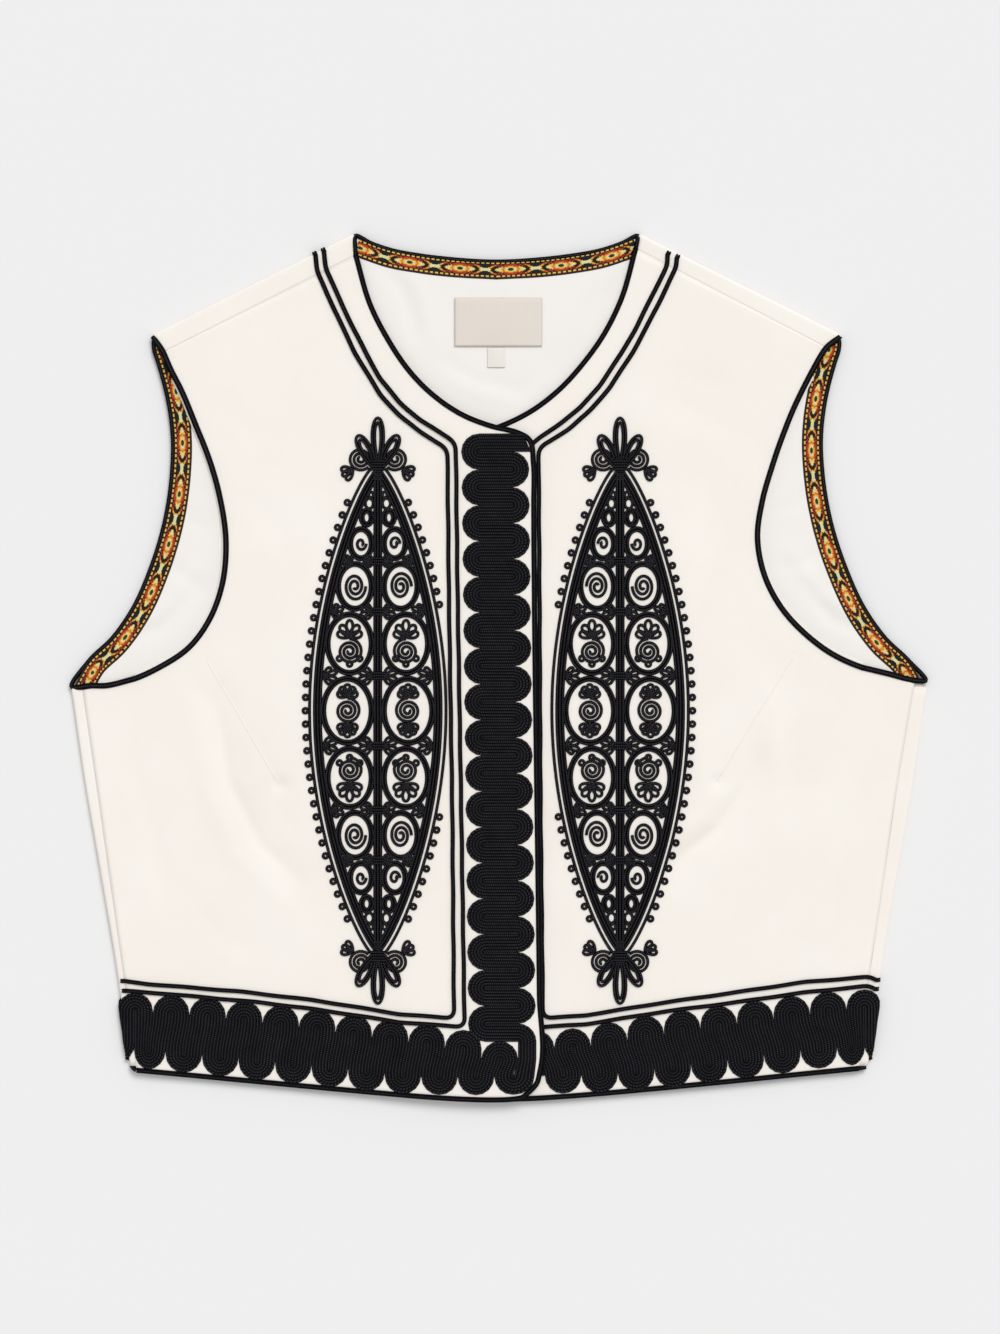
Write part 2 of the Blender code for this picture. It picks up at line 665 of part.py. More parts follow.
def back_neck_binding(material):
    """The binding of the back neck, over both shoulder folds to the shoulder seams."""
    neck = [(r.inner_x, r.inner_y) for r in BACK_ARMHOLE_ROWS[NECK_ROW:]]
    half = []
    for side, rows in ((-1, RIGHT_ARMHOLE_ROWS), (1, LEFT_ARMHOLE_ROWS)):
        seam = (rows[-1].inner_x, rows[-1].inner_y)
        corner_y = SHOULDER_NECK_END[1] - 1.4
        corner_x = side * (SHOULDER_NECK_END[0] - 1.0) + lean(corner_y)
        points = [
            (seam[0], seam[1] + BINDING_RADIUS + GAP, FRONT_TOP - 0.2),
            (lerp(seam[0], corner_x, 0.7), lerp(seam[1], corner_y, 0.75), FRONT_TOP - 0.4),
            (corner_x, corner_y, FOLD_RADIUS),
        ]
        points += [(side * x + lean(y), y, BACK_BINDING_Z) for x, y in neck[::-1]]
        half.append(points)
    right, left = half
    return tube("back_neck_binding", right + left[-2::-1], BINDING_RADIUS, material)


def back_hem_binding(material):
    """The binding along the back's hem and round both side folds to the side seams."""
    row = BACK_SIDE_ROWS[0]
    start, end = Vector((row.inner_x, row.inner_y)), Vector((row.outer_x, row.outer_y))
    half = [plan_point(start, end, row.bow, j / BACK_COLUMNS) for j in range(BACK_COLUMNS)]
    turn_x, turn_y = row.outer_x - FOLD_RADIUS, row.outer_y
    points = []
    for side, seam_rows in ((-1, RIGHT_SEAM_ROWS), (1, LEFT_SEAM_ROWS)):
        seam_y = seam_rows[0].outer_y
        edge = [(seam_rows[0].outer_x + side * 1.6, seam_y, FRONT_TOP)]
        edge.append((side * (turn_x + 0.9), turn_y - 0.6, FOLD_RADIUS + 0.5))
        edge.append((side * (turn_x - 0.4), turn_y, BACK_BINDING_Z))
        edge += [(side * x, y, BACK_BINDING_Z) for x, y in half[::-1]]
        points.append(edge)
    right, left = points
    return tube("back_hem_binding", right + left[-2::-1], BINDING_RADIUS, material)


def double_cords(material):
    """Two parallel cords on each front, laid on the cloth."""
    lift = GAP + CORD_RADIUS
    cords = (
        ("right_outer_cord", RIGHT_OUTER_CORD, right_front_z),
        ("right_inner_cord", RIGHT_INNER_CORD, right_front_z),
        ("left_outer_cord", LEFT_OUTER_CORD, left_front_z),
        ("left_inner_cord", LEFT_INNER_CORD, left_front_z),
        ("left_lower_cord", LEFT_LOWER_CORD, left_front_z),
    )
    for name, line, z_of in cords:
        plan = smooth_line(line, CORD_SPACING)
        points = [(p.x, p.y, z_of(p.x, p.y) + lift) for p in plan]
        tube(name, points, CORD_RADIUS, material)


def notch(distance):
    """How far a scalloped edge is drawn in, this far from its nearest lobe's middle."""
    distance = min(distance, LOBE_RADIUS)
    return min(LOBE_RADIUS - math.sqrt(LOBE_RADIUS ** 2 - distance ** 2), NOTCH_DEPTH)


def lobe_distance(position, first_lobe, pitch):
    """How far a place lies from the nearest lobe of a row of lobes."""
    return abs((position - first_lobe + pitch / 2) % pitch - pitch / 2)


def placket_braid(material):
    """Braid that meanders down the lapping front edge, as a slab with scalloped sides."""
    length = PLACKET_TOP - PLACKET_BOTTOM
    count = round(length / BRAID_STATION)
    rows = []
    for k in range(count + 1):
        y = PLACKET_TOP - length * k / count
        middle = lerp(PLACKET_TOP_X, PLACKET_BOTTOM_X, k / count)
        left = notch(lobe_distance(y, PLACKET_LEFT_LOBE, PLACKET_PITCH))
        right = notch(lobe_distance(y, PLACKET_RIGHT_LOBE, PLACKET_PITCH))
        if y > PLACKET_RIGHT_LOBE:
            right = 6.0 * smooth((y - PLACKET_RIGHT_LOBE - 12.0) / 8.0)
        half = PLACKET_WIDTH / 2
        rows.append(((middle - half + left, y), (middle + half - right, y)))
    return prism("placket_braid", rows, material, right_front_z)


def hem_edge(x, edge):
    """The top or the bottom line of the hem braid, this far from the middle."""
    for a, b in zip(HEM_LINE, HEM_LINE[1:]):
        if x <= b.x:
            return lerp(getattr(a, edge), getattr(b, edge), (x - a.x) / (b.x - a.x))
    return getattr(HEM_LINE[-1], edge)


def hem_braid(name, side, start, end, z_of, material):
    """Braid that meanders along the hem from start to end, measured out from the middle."""
    count = round((end - start) / BRAID_STATION)
    rows = []
    for k in range(count + 1):
        x = lerp(start, end, k / count)
        upper = hem_edge(x, "top") - notch(lobe_distance(x, HEM_TOP_LOBE, HEM_PITCH))
        lower = hem_edge(x, "bottom") + notch(lobe_distance(x, HEM_BOTTOM_LOBE, HEM_PITCH))
        rows.append(((side * x, lower), (side * x, upper)))
    return prism(name, rows, material, z_of)


def flat_shape(name, outline_pairs, closed=False):
    """A flat slab over pairs of plan points, for a union with others."""
    points = []
    for pair in outline_pairs:
        points += [(*pair[0], 0.0), (*pair[1], 0.0), (*pair[1], BRAID_HEIGHT), (*pair[0], BRAID_HEIGHT)]
    count = len(outline_pairs)
    faces = []
    for i in range(count if closed else count - 1):
        a, b = 4 * i, 4 * ((i + 1) % count)
        faces += [[a + k, a + (k + 1) % 4, b + (k + 1) % 4, b + k] for k in range(4)]
    if not closed:
        last = 4 * (count - 1)
        faces += [[0, 3, 2, 1], [last, last + 1, last + 2, last + 3]]
    mesh = mesh_of(name, points, faces)
    shape = bmesh.new()
    shape.from_mesh(mesh)
    bmesh.ops.recalc_face_normals(shape, faces=shape.faces)
    shape.to_mesh(mesh)
    shape.free()
    obj = bpy.data.objects.new(name, mesh)
    obj.hide_render = True
    obj.display_type = "WIRE"
    return obj


def almond(s):
    """The medallion's half width at this distance along it from its middle."""
    t = min(abs(s) / ALMOND_HALF_LENGTH, 1.0)
    return ALMOND_HALF_WIDTH * math.cos(math.pi / 2 * t) ** ALMOND_POWER


def scroll_levels():
    """(distance along, half width, half length) of each level of ring scrolls."""
    def half_size(s):
        return (almond(s) - FRAME_BAND - STEM_BAND / 2) / 2

    upper = [(0.0, half_size(0.0))]
    for _ in range(SCROLL_LEVELS):
        s, size = upper[-1]
        following = s + 2 * size * SCROLL_STRETCH
        for _ in range(8):
            reach = size + half_size(following)
            following = s + reach * SCROLL_STRETCH + SCROLL_SPACE
        upper.append((following, half_size(following)))
    lower = [(-s, size) for s, size in upper[:0:-1]]
    return [(s, size, size * SCROLL_STRETCH) for s, size in lower + upper]


def ring_pairs(middle, half_width, half_length, band):
    """Pairs of outer and inner points round an oval ring."""
    pairs = []
    for k in range(RING_SIDES):
        turn = 2 * math.pi * k / RING_SIDES
        across, along = math.cos(turn), math.sin(turn)
        outer = (middle[0] + half_width * across, middle[1] + half_length * along)
        inner = (
            middle[0] + (half_width - band) * across,
            middle[1] + (half_length - band) * along,
        )
        pairs.append((outer, inner))
    return pairs


def medallion_shapes(side):
    """The slabs of one medallion before they are made one."""
    half = FRAME_BAND / 2
    centre = Vector((side * MEDALLION_X, MEDALLION_Y))
    shapes = []
    for hand in (-1, 1):
        line = []
        for k in range(FRAME_STEPS + 1):
            s = ALMOND_HALF_LENGTH * math.sin(math.pi * (k / FRAME_STEPS - 0.5))
            line.append((centre.x + hand * max(almond(s) - half, 0.0), centre.y + s))
        edges = zip(offset_line(line, half), offset_line(line, -half))
        shapes.append(flat_shape("frame", list(edges)))
    stem = []
    for k in range(STEM_STEPS + 1):
        y = centre.y + (ALMOND_HALF_LENGTH - 1.0) * (2 * k / STEM_STEPS - 1)
        stem.append(((centre.x - STEM_BAND / 2, y), (centre.x + STEM_BAND / 2, y)))
    shapes.append(flat_shape("stem", stem))
    for s, size, length in scroll_levels():
        for hand in (-1, 1):
            middle = (centre.x + hand * (STEM_BAND / 2 + size), centre.y + s)
            band = min(SCROLL_BAND, size * 0.55)
            pairs = ring_pairs(middle, size + SCROLL_JOIN, length, band)
            shapes.append(flat_shape("ring_scroll", pairs, closed=True))
    for end in (-1, 1):
        for hand in (-1, 1):
            middle = (centre.x + hand * FINIAL_SCROLL_OUT, centre.y + end * FINIAL_SCROLL_UP)
            radius = FINIAL_SCROLL_RADIUS
            pairs = ring_pairs(middle, radius, radius, FINIAL_SCROLL_BAND)
            shapes.append(flat_shape("finial_scroll", pairs, closed=True))
        for fan in (-1, 0, 1):
            length = SIDE_PETAL_LENGTH if fan else PETAL_LENGTH
            shapes.append(petal(centre, end, fan * PETAL_FAN, length))
    return shapes


def petal(centre, end, turn, length):
    """A pointed petal of the finial, leaning by turn from the medallion's line."""
    direction = Vector((math.sin(turn), end * math.cos(turn)))
    across = Vector((direction.y, -direction.x))
    root = Vector((centre.x, centre.y + end * PETAL_ROOT))
    pairs = []
    for t, width in PETAL_WIDTHS:
        spot = root + direction * length * t
        reach = across * PETAL_HALF_WIDTH * width
        pairs.append((tuple(spot - reach), tuple(spot + reach)))
    return flat_shape("petal", pairs)


def medallion(name, side, z_of, material):
    """One medallion: its slabs made one, then laid on the front's own surface."""
    shapes = medallion_shapes(side)
    helpers = bpy.data.collections.new(name + "_shapes")
    cutters.children.link(helpers)
    base, *others = shapes
    vest.objects.link(base)
    for shape in others:
        helpers.objects.link(shape)
    union = base.modifiers.new("Union", "BOOLEAN")
    union.operation = "UNION"
    union.operand_type = "COLLECTION"
    union.collection = helpers
    union.solver = "EXACT"
    graph = bpy.context.evaluated_depsgraph_get()
    graph.update()
    mesh = bpy.data.meshes.new_from_object(base.evaluated_get(graph))
    slab = bmesh.new()
    slab.from_mesh(mesh)
    bmesh.ops.dissolve_limit(slab, angle_limit=FLAT_ANGLE, verts=slab.verts, edges=slab.edges)
    bmesh.ops.triangulate(slab, faces=slab.faces)
    long_edges = [edge for edge in slab.edges if edge.calc_length() > LONGEST_EDGE * MM]
    while long_edges:
        bmesh.ops.subdivide_edges(slab, edges=long_edges, cuts=1)
        bmesh.ops.triangulate(slab, faces=slab.faces)
        long_edges = [edge for edge in slab.edges if edge.calc_length() > LONGEST_EDGE * MM]
    for vertex in slab.verts:
        x, y = vertex.co.x / MM, vertex.co.y / MM
        vertex.co.z += (z_of(x, y) + GAP) * MM
    slab.to_mesh(mesh)
    slab.free()
    bpy.data.objects.remove(base)
    for shape in others:
        bpy.data.objects.remove(shape)
    mesh.materials.clear()
    return add_object(name, mesh, material)


def plate(name, centre, size, material):
    """A woven label lying on the lining."""
    bpy.ops.mesh.primitive_cube_add(size=1.0)
    obj = bpy.context.active_object
    obj.name = name
    for user in list(obj.users_collection):
        user.objects.unlink(obj)
    vest.objects.link(obj)
    middle = LINING_TOP + GAP + LABEL_THICK / 2
    for vertex in obj.data.vertices:
        vertex.co.x = (centre[0] + vertex.co.x * size[0]) * MM
        vertex.co.y = (centre[1] + vertex.co.y * size[1]) * MM
        vertex.co.z = (middle + vertex.co.z * LABEL_THICK) * MM
    obj.data.materials.append(material)
    return obj


def main():
    cream = make_material("cream_twill", (0.90, 0.86, 0.79), 0.85)
    lining = make_material("lining_cloth", (0.87, 0.86, 0.82), 0.75)
    black = make_material("black_cord", (0.012, 0.012, 0.014), 0.6)
    woven = make_material("woven_tape", (0.55, 0.25, 0.06), 0.7)
    label = make_material("label_cloth", (0.78, 0.71, 0.64), 0.7)

    back_panel(cream)
    back_lining(lining)
    tapes(woven)
    front_panel("right_front_panel", RIGHT_SEAM_ROWS, RIGHT_ARMHOLE_ROWS, right_front_z, -1, cream)
    front_panel("left_front_panel", LEFT_SEAM_ROWS, LEFT_ARMHOLE_ROWS, left_front_z, 1, cream)
    front_binding("right_front_binding", RIGHT_SEAM_ROWS, RIGHT_ARMHOLE_ROWS, right_front_z, black)
    front_binding("left_front_binding", LEFT_SEAM_ROWS, LEFT_ARMHOLE_ROWS, left_front_z, black)
    armhole_binding(
        "right_armhole_binding", -1, RIGHT_SEAM_ROWS, RIGHT_ARMHOLE_ROWS, right_front_z, black
    )
    armhole_binding(
        "left_armhole_binding", 1, LEFT_SEAM_ROWS, LEFT_ARMHOLE_ROWS, left_front_z, black
    )
    back_neck_binding(black)
    back_hem_binding(black)
    double_cords(black)
    placket_braid(black)
    hem_braid("right_hem_braid", -1, -19.4, 206.0, right_front_z, black)
    hem_braid("left_hem_braid", 1, 25.4, 206.0, left_front_z, black)
    medallion("right_medallion", -1, right_front_z, black)
    medallion("left_medallion", 1, left_front_z, black)
    plate("label", LABEL_CENTRE, LABEL_SIZE, label)
    plate("size_tab", TAB_CENTRE, TAB_SIZE, label)


for old in list(bpy.data.objects):
    bpy.data.objects.remove(old)
vest = bpy.data.collections.new("embroidered_folk_vest")
bpy.context.scene.collection.children.link(vest)
cutters = bpy.data.collections.new("cutters")
cutters.hide_render = True
bpy.context.scene.collection.children.link(cutters)
main()
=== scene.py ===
"""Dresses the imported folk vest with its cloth, cords, woven tape and labels, and lights it.

Plan sizes are in millimetres, with the vest lying on its back and +Y towards the neck.
Meshes are made in metres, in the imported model's own frame.
"""

import math
from collections import namedtuple

import bpy
import numpy as np
from bpy.props import FloatProperty, FloatVectorProperty, PointerProperty
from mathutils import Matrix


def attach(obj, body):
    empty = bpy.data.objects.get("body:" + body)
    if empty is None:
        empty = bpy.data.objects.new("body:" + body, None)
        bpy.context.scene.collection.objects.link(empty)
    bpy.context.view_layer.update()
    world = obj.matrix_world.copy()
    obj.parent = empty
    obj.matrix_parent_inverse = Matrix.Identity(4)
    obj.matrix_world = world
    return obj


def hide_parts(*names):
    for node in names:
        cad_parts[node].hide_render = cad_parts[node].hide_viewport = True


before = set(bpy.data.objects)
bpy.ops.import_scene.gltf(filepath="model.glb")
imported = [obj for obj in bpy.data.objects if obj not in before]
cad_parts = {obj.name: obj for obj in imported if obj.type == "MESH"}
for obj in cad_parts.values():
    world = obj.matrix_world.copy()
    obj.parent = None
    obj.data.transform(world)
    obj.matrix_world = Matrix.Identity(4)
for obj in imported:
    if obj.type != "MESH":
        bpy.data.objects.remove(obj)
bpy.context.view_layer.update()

bl_info = {
    "name": "Folk Vest",
    "version": (1, 0, 0),
    "blender": (4, 5, 0),
    "location": "View3D > Sidebar > Vest",
    "description": "Builds the cloth, cords and trimmings of a folk vest around its packed model",
    "category": "Add Mesh",
}

MM = 0.001
BODY = "root"

# The stack of layers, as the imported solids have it
LINING_TOP = 2.5
FRONT_TOP = 4.0
LAP_RISE = 2.4
LAP_START_X = -87.0
LAP_FULL_X = -27.0
CROWN = 2.2
CROWN_X = 95.0
CROWN_Y = -25.0
CROWN_HALF_WIDTH = 62.0
CROWN_HALF_LENGTH = 105.0
LEAN = -1.4
LEAN_FROM_Y = -20.0
LEAN_LENGTH = 200.0

# The underside: how high trims hold the cloth, and how low it lies between them
TRIM_LIFT = 0.8
REST_LIFT = 0.12
BACK_BINDING_Z = 1.8
HEM_TRIMS_HEIGHT = 62.0
# The trims of the back neck lie within this radius of a point above the neck
NECK_TRIMS_Y = 438.0
NECK_TRIMS_RADIUS = 262.0
# Trims are pressed flat this far above the surface that the vest lies on
LOWEST = 0.02
FOLD_MIDDLE = (FRONT_TOP + TRIM_LIFT) / 2
FOLD_ROLL = (FRONT_TOP - TRIM_LIFT) / 2

# The two ends of a row of points over a panel, and how far the row sags towards the hem
Row = namedtuple("Row", "inner_x inner_y outer_x outer_y bow", defaults=(0.0,))
RIGHT_SEAM_ROWS = (
    Row(14.9, -234.9, -199.4, -221.9, 4.8),
    Row(20.4, -229.4, -200.2, -217.0, 4.4),
    Row(22.6, -221.7, -201.2, -210.0, 4.0),
    Row(22.2, -180.0, -206.5, -172.0, 2.0),
    Row(21.6, -130.0, -212.5, -130.0),
    Row(20.8, -70.0, -221.0, -70.0),
    Row(20.0, -12.0, -229.4, -12.7),
)
RIGHT_ARMHOLE_ROWS = (
    Row(19.9, -5.0, -217.0, -10.3),
    Row(19.8, 3.0, -201.0, -6.6),
    Row(19.7, 11.0, -186.5, 0.0),
    Row(19.6, 20.0, -170.0, 11.3),
    Row(19.5, 31.0, -159.0, 26.7),
    Row(19.4, 45.0, -152.5, 44.5),
    Row(19.2, 66.0, -150.2, 68.0),
    Row(19.1, 90.0, -153.5, 93.0),
    Row(18.9, 112.0, -158.5, 111.5),
    Row(16.8, 124.8, -162.5, 122.5),
    Row(10.5, 128.7, -165.8, 130.5),
    Row(-5.0, 132.6, -169.0, 138.5),
    Row(-22.0, 139.6, -172.2, 146.4),
    Row(-38.0, 151.0, -175.2, 153.2),
    Row(-50.0, 163.6, -178.2, 159.0),
    Row(-61.0, 180.0, -180.9, 164.4),
    Row(-71.0, 199.7, -183.0, 169.2),
    Row(-78.9, 226.8, -184.8, 173.3),
)
LEFT_SEAM_ROWS = (
    Row(-14.9, -234.9, 198.1, -220.9, 4.8),
    Row(-20.4, -229.4, 198.9, -216.0, 4.4),
    Row(-22.6, -221.7, 199.8, -209.0, 4.0),
    Row(-22.5, -180.0, 203.6, -172.0, 2.0),
    Row(-22.5, -130.0, 209.8, -130.0),
    Row(-22.4, -62.7, 219.5, -62.7),
    Row(-22.4, -12.0, 228.6, -9.2),
)
LEFT_ARMHOLE_ROWS = (
    Row(-22.4, -5.0, 215.0, -3.9),
    Row(-22.4, 4.0, 200.0, -0.3),
    Row(-22.4, 14.0, 184.0, 6.8),
    Row(-22.4, 26.0, 169.0, 17.8),
    Row(-22.4, 39.0, 155.5, 32.4),
    Row(-22.4, 54.0, 146.2, 50.0),
    Row(-22.4, 72.0, 142.2, 71.0),
    Row(-22.4, 92.0, 145.0, 92.0),
    Row(-22.3, 112.0, 150.0, 109.5),
    Row(-20.8, 124.8, 154.0, 121.5),
    Row(-14.9, 128.7, 157.3, 130.4),
    Row(-4.0, 130.8, 160.8, 139.2),
    Row(17.0, 140.3, 164.4, 147.2),
    Row(33.5, 152.9, 168.0, 154.5),
    Row(46.0, 166.6, 171.3, 160.9),
    Row(57.5, 182.6, 174.2, 166.3),
    Row(67.5, 202.9, 177.0, 171.2),
    Row(75.3, 230.5, 180.2, 175.8),
)

BACK_SIDE_ROWS = (
    Row(0.0, -235.0, 203.2, -219.5, 3.0),
    Row(0.0, -202.0, 206.3, -196.0, 1.5),
    Row(0.0, -170.0, 210.4, -167.0),
    Row(0.0, -110.0, 220.0, -110.0),
    Row(0.0, -62.0, 228.2, -62.0),
    Row(0.0, -12.0, 235.6, -11.0),
)
BACK_ARMHOLE_ROWS = (
    Row(0.0, 4.0, 226.0, 3.2),
    Row(0.0, 22.0, 213.0, 15.8),
    Row(0.0, 42.0, 202.4, 30.6),
    Row(0.0, 66.0, 191.0, 55.5),
    Row(0.0, 92.0, 183.2, 81.0),
    Row(0.0, 118.0, 179.2, 106.5),
    Row(0.0, 144.0, 178.5, 126.0),
    Row(0.0, 172.0, 180.8, 146.0),
    Row(0.0, 200.0, 184.2, 160.5),
    Row(0.0, 223.3, 186.9, 169.5),
    Row(25.0, 224.7, 188.4, 174.0),
    Row(42.0, 226.7, 188.8, 176.6),
    Row(58.0, 229.7, 188.9, 178.9),
    Row(69.0, 233.4, 188.6, 180.8),
)
# The row of the back that starts at the corner of its neck
NECK_ROW = len(BACK_SIDE_ROWS) + 9
# The smaller a row's power, the nearer its lowest point is to its inner end
FRONT_BOW_POWER = 0.45
BACK_BOW_POWER = 0.6
# How far the back's strips tuck under the fronts' edges, and how many steps their rolls take
STRIP_TUCK = 0.1
ROLL_STEPS = 11
# A seam: a groove, with a soft swell beside it
SEAM_GROOVE = 0.07
SEAM_GROOVE_WIDTH = 0.9
SEAM_SWELL = 0.06
SEAM_SWELL_WIDTH = 1.2
SEAM_SWELL_AT = 2.4
SHOULDER_NECK_END = (78.9, 238.4)
SHOULDER_TIP = (190.0, 182.8)

# Folds and creases in the fronts: depth (a ridge is negative), half width and line
Crease = namedtuple("Crease", "depth half_width line")
MAIN_FOLDS = (
    Crease(0.9, 11.0, ((-155.0, -20.0), (-147.0, -66.0), (-112.0, -116.0))),
    Crease(1.0, 9.0, ((142.0, -54.0), (121.0, -90.0), (90.0, -112.0))),
    Crease(0.6, 12.0, ((163.0, -16.0), (160.0, -40.0), (159.0, -64.0))),
    Crease(0.4, 9.0, ((-104.0, -60.0), (-100.0, -70.0), (-96.0, -80.0))),
)
CREASES = (
    Crease(0.55, 3.1, ((-155.0, -19.8), (-148.5, -62.7), (-131.5, -97.4), (-110.6, -117.7))),
    Crease(-0.4, 6.0, ((-167.0, -22.0), (-161.0, -66.0), (-145.0, -103.0), (-120.0, -128.0))),
    Crease(0.3, 4.0, ((-104.0, -58.0), (-95.0, -79.0))),
    Crease(0.22, 5.0, ((-128.0, -62.0), (-118.0, -84.0), (-104.0, -98.0))),
    Crease(-0.22, 6.0, ((-112.0, -52.0), (-106.0, -76.0))),
    Crease(0.2, 7.0, ((-140.0, 96.0), (-121.0, 74.0), (-108.0, 40.0))),
    Crease(0.22, 8.0, ((-160.0, 150.0), (-138.0, 132.0), (-118.0, 126.0))),
    Crease(0.25, 6.0, ((-205.0, -48.0), (-190.0, -92.0), (-183.0, -140.0))),
    Crease(0.16, 6.0, ((-178.0, -120.0), (-150.0, -150.0), (-122.0, -160.0))),
    Crease(0.75, 3.0, ((141.9, -55.8), (121.0, -88.6), (88.6, -112.8))),
    Crease(0.35, 5.0, ((146.0, -40.0), (143.0, -52.0), (136.0, -66.0))),
    Crease(0.5, 2.6, ((122.5, -60.0), (116.5, -66.0))),
    Crease(0.5, 2.6, ((-124.0, -62.0), (-118.0, -66.5))),
    Crease(0.3, 2.8, ((127.5, -50.0), (125.4, -66.0))),
    Crease(-0.5, 5.5, ((133.0, -58.0), (113.0, -82.0), (84.0, -104.0))),
    Crease(0.28, 6.5, ((162.8, -16.0), (160.5, -40.0), (159.0, -62.7))),
    Crease(-0.28, 6.0, ((150.0, -8.0), (148.0, -36.0), (150.0, -60.0))),
    Crease(-0.26, 8.0, ((110.0, -30.0), (108.0, -66.0))),
    Crease(0.35, 3.4, ((105.0, -44.0), (101.0, -68.0))),
    Crease(0.18, 7.0, ((90.0, 163.0), (113.0, 158.0), (138.0, 147.0))),
    Crease(0.16, 8.0, ((84.0, 150.0), (106.0, 142.0), (128.0, 128.0))),
    Crease(0.2, 7.0, ((132.0, 92.0), (118.0, 64.0), (110.0, 30.0))),
    Crease(0.22, 6.0, ((206.0, -60.0), (190.0, -98.0), (180.0, -150.0))),
    Crease(0.15, 6.0, ((176.0, -112.0), (150.0, -140.0), (118.0, -152.0))),
)
DARTS = (
    ((-160.6, 3.3), (-141.0, -30.0), (-121.0, -64.4)),
    ((162.8, 6.6), (141.0, -28.0), (119.9, -62.7)),
)
CREASE_SCALE = 1.7
RIPPLE_SCALE = 1.3
DART_GROOVE = 0.25
DART_WIDTH = 2.6
# The dimple where a dart ends, and its place from the dart's last point
PUCKER_DEPTH = 0.5
PUCKER_WIDTH = 4.0
PUCKER_OFFSET = (2.0, -1.5)
# Soft creases of the lining where it shows
LINING_CREASES = (
    Crease(0.5, 4.0, ((-66.0, 226.0), (-52.0, 206.0), (-44.0, 180.0))),
    Crease(-0.4, 5.0, ((-56.0, 226.0), (-42.0, 204.0), (-38.0, 184.0))),
    Crease(0.45, 4.0, ((68.0, 226.0), (58.0, 204.0), (52.0, 184.0))),
    Crease(-0.35, 5.0, ((58.0, 222.0), (46.0, 202.0))),
    Crease(0.4, 3.4, ((-34.0, 172.0), (-14.0, 158.0), (12.0, 152.0))),
    Crease(0.35, 4.2, ((34.0, 178.0), (22.0, 160.0), (6.0, 146.0))),
    Crease(-0.3, 4.0, ((-30.0, 160.0), (-6.0, 150.0), (10.0, 146.0))),
    Crease(0.5, 4.0, ((-206.0, 14.0), (-186.0, 22.0), (-168.0, 44.0))),
    Crease(-0.4, 4.5, ((-200.0, 22.0), (-180.0, 34.0), (-168.0, 58.0))),
    Crease(0.45, 3.6, ((-190.0, 60.0), (-176.0, 52.0), (-160.0, 40.0))),
    Crease(0.4, 4.0, ((-182.0, 96.0), (-170.0, 80.0), (-158.0, 76.0))),
    Crease(0.5, 4.0, ((204.0, 18.0), (184.0, 26.0), (166.0, 50.0))),
    Crease(-0.4, 4.5, ((196.0, 28.0), (176.0, 40.0), (160.0, 66.0))),
    Crease(0.4, 3.6, ((186.0, 70.0), (170.0, 58.0), (152.0, 54.0))),
    Crease(0.35, 4.0, ((176.0, 104.0), (164.0, 88.0), (152.0, 86.0))),
)

# How much wider the armhole's binding lies on the front, and the double cords near the shoulder
FRONT_ARMHOLE_SPREAD = 0.27
SHOULDER_CORD_SPREAD = 0.1
SPREAD_FROM_Y = 110.0
SPREAD_LENGTH = 40.0
# Bindings: half heights of the twin and the rolled one, the rolled one's share of the width,
# how deep they sit on a front, and how far apart their points are
TWIN_BINDING_HEIGHT = 1.0
ROLLED_BINDING_HEIGHT = 1.6
ROLLED_BINDING_SHARE = 0.85
BINDING_LIFT = -0.1
BINDING_STEP = 1.6
# Double cords: their half height, how high they lie, their share of both under the back, and
# how far apart their points are there
CORD_HEIGHT = 0.85
CORD_LIFT = 0.5
UNDER_CORD_SHARE = 0.62
UNDER_CORD_STEP = 2.2

# Double cords, from the shoulder fold to the side fold
RIGHT_OUTER_CORD = (
    (-100.9, 226.6), (-100.2, 217.9), (-97.9, 212.9), (-91.9, 199.7), (-85.8, 186.5),
    (-79.5, 173.3), (-65.5, 149.9), (-54.5, 138.1), (-43.5, 129.3), (-30.3, 121.2),
    (-28.3, 118.0), (-27.5, 40.0), (-25.6, -80.0), (-24.7, -190.6), (-27.1, -192.8),
    (-54.5, -190.9), (-102.3, -183.2), (-142.5, -178.5), (-193.6, -174.4), (-206.4, -172.8),
)
RIGHT_INNER_CORD = (
    (-96.2, 228.6), (-95.3, 219.4), (-92.5, 212.9), (-86.4, 199.7), (-80.3, 186.5),
    (-73.4, 173.3), (-65.5, 158.7), (-54.5, 145.2), (-43.5, 135.9), (-25.7, 124.6),
    (-23.7, 121.4), (-22.7, 40.0), (-20.7, -80.0), (-18.9, -195.4), (-21.3, -197.6),
    (-54.5, -195.3), (-102.3, -188.1), (-132.6, -184.4), (-183.4, -179.8), (-205.6, -178.2),
)
LEFT_OUTER_CORD = (
    (97.9, 225.0), (97.6, 220.0), (94.0, 212.9), (87.7, 199.7), (80.9, 186.5),
    (73.7, 173.3), (61.0, 153.7), (50.0, 141.1), (39.0, 131.2), (23.7, 121.8),
    (21.8, 118.6), (22.3, 40.0), (22.9, -80.0), (24.2, -190.9), (26.8, -193.1),
    (47.3, -191.7), (91.3, -184.5), (129.8, -179.0), (168.3, -173.3), (203.8, -170.4), (207.6, -172.2),
)
LEFT_INNER_CORD = (
    (92.9, 227.0), (92.6, 221.0), (88.5, 212.9), (82.0, 199.7), (75.4, 186.5),
    (66.9, 171.9), (55.6, 155.1), (44.6, 142.5), (33.6, 133.9), (22.6, 126.4), (18.2, 122.6),
)
LEFT_LOWER_CORD = (
    (24.6, -198.0), (47.3, -196.6), (91.3, -189.5), (129.8, -184.5), (168.3, -179.0),
    (203.4, -175.4), (206.8, -177.2),
)
# How far in from the back neck's edge, and up from the back hem's braid, the cords go on
BACK_NECK_CORDS = (18.5, 23.6)
BACK_HEM_CORDS = (6.8, 1.6)
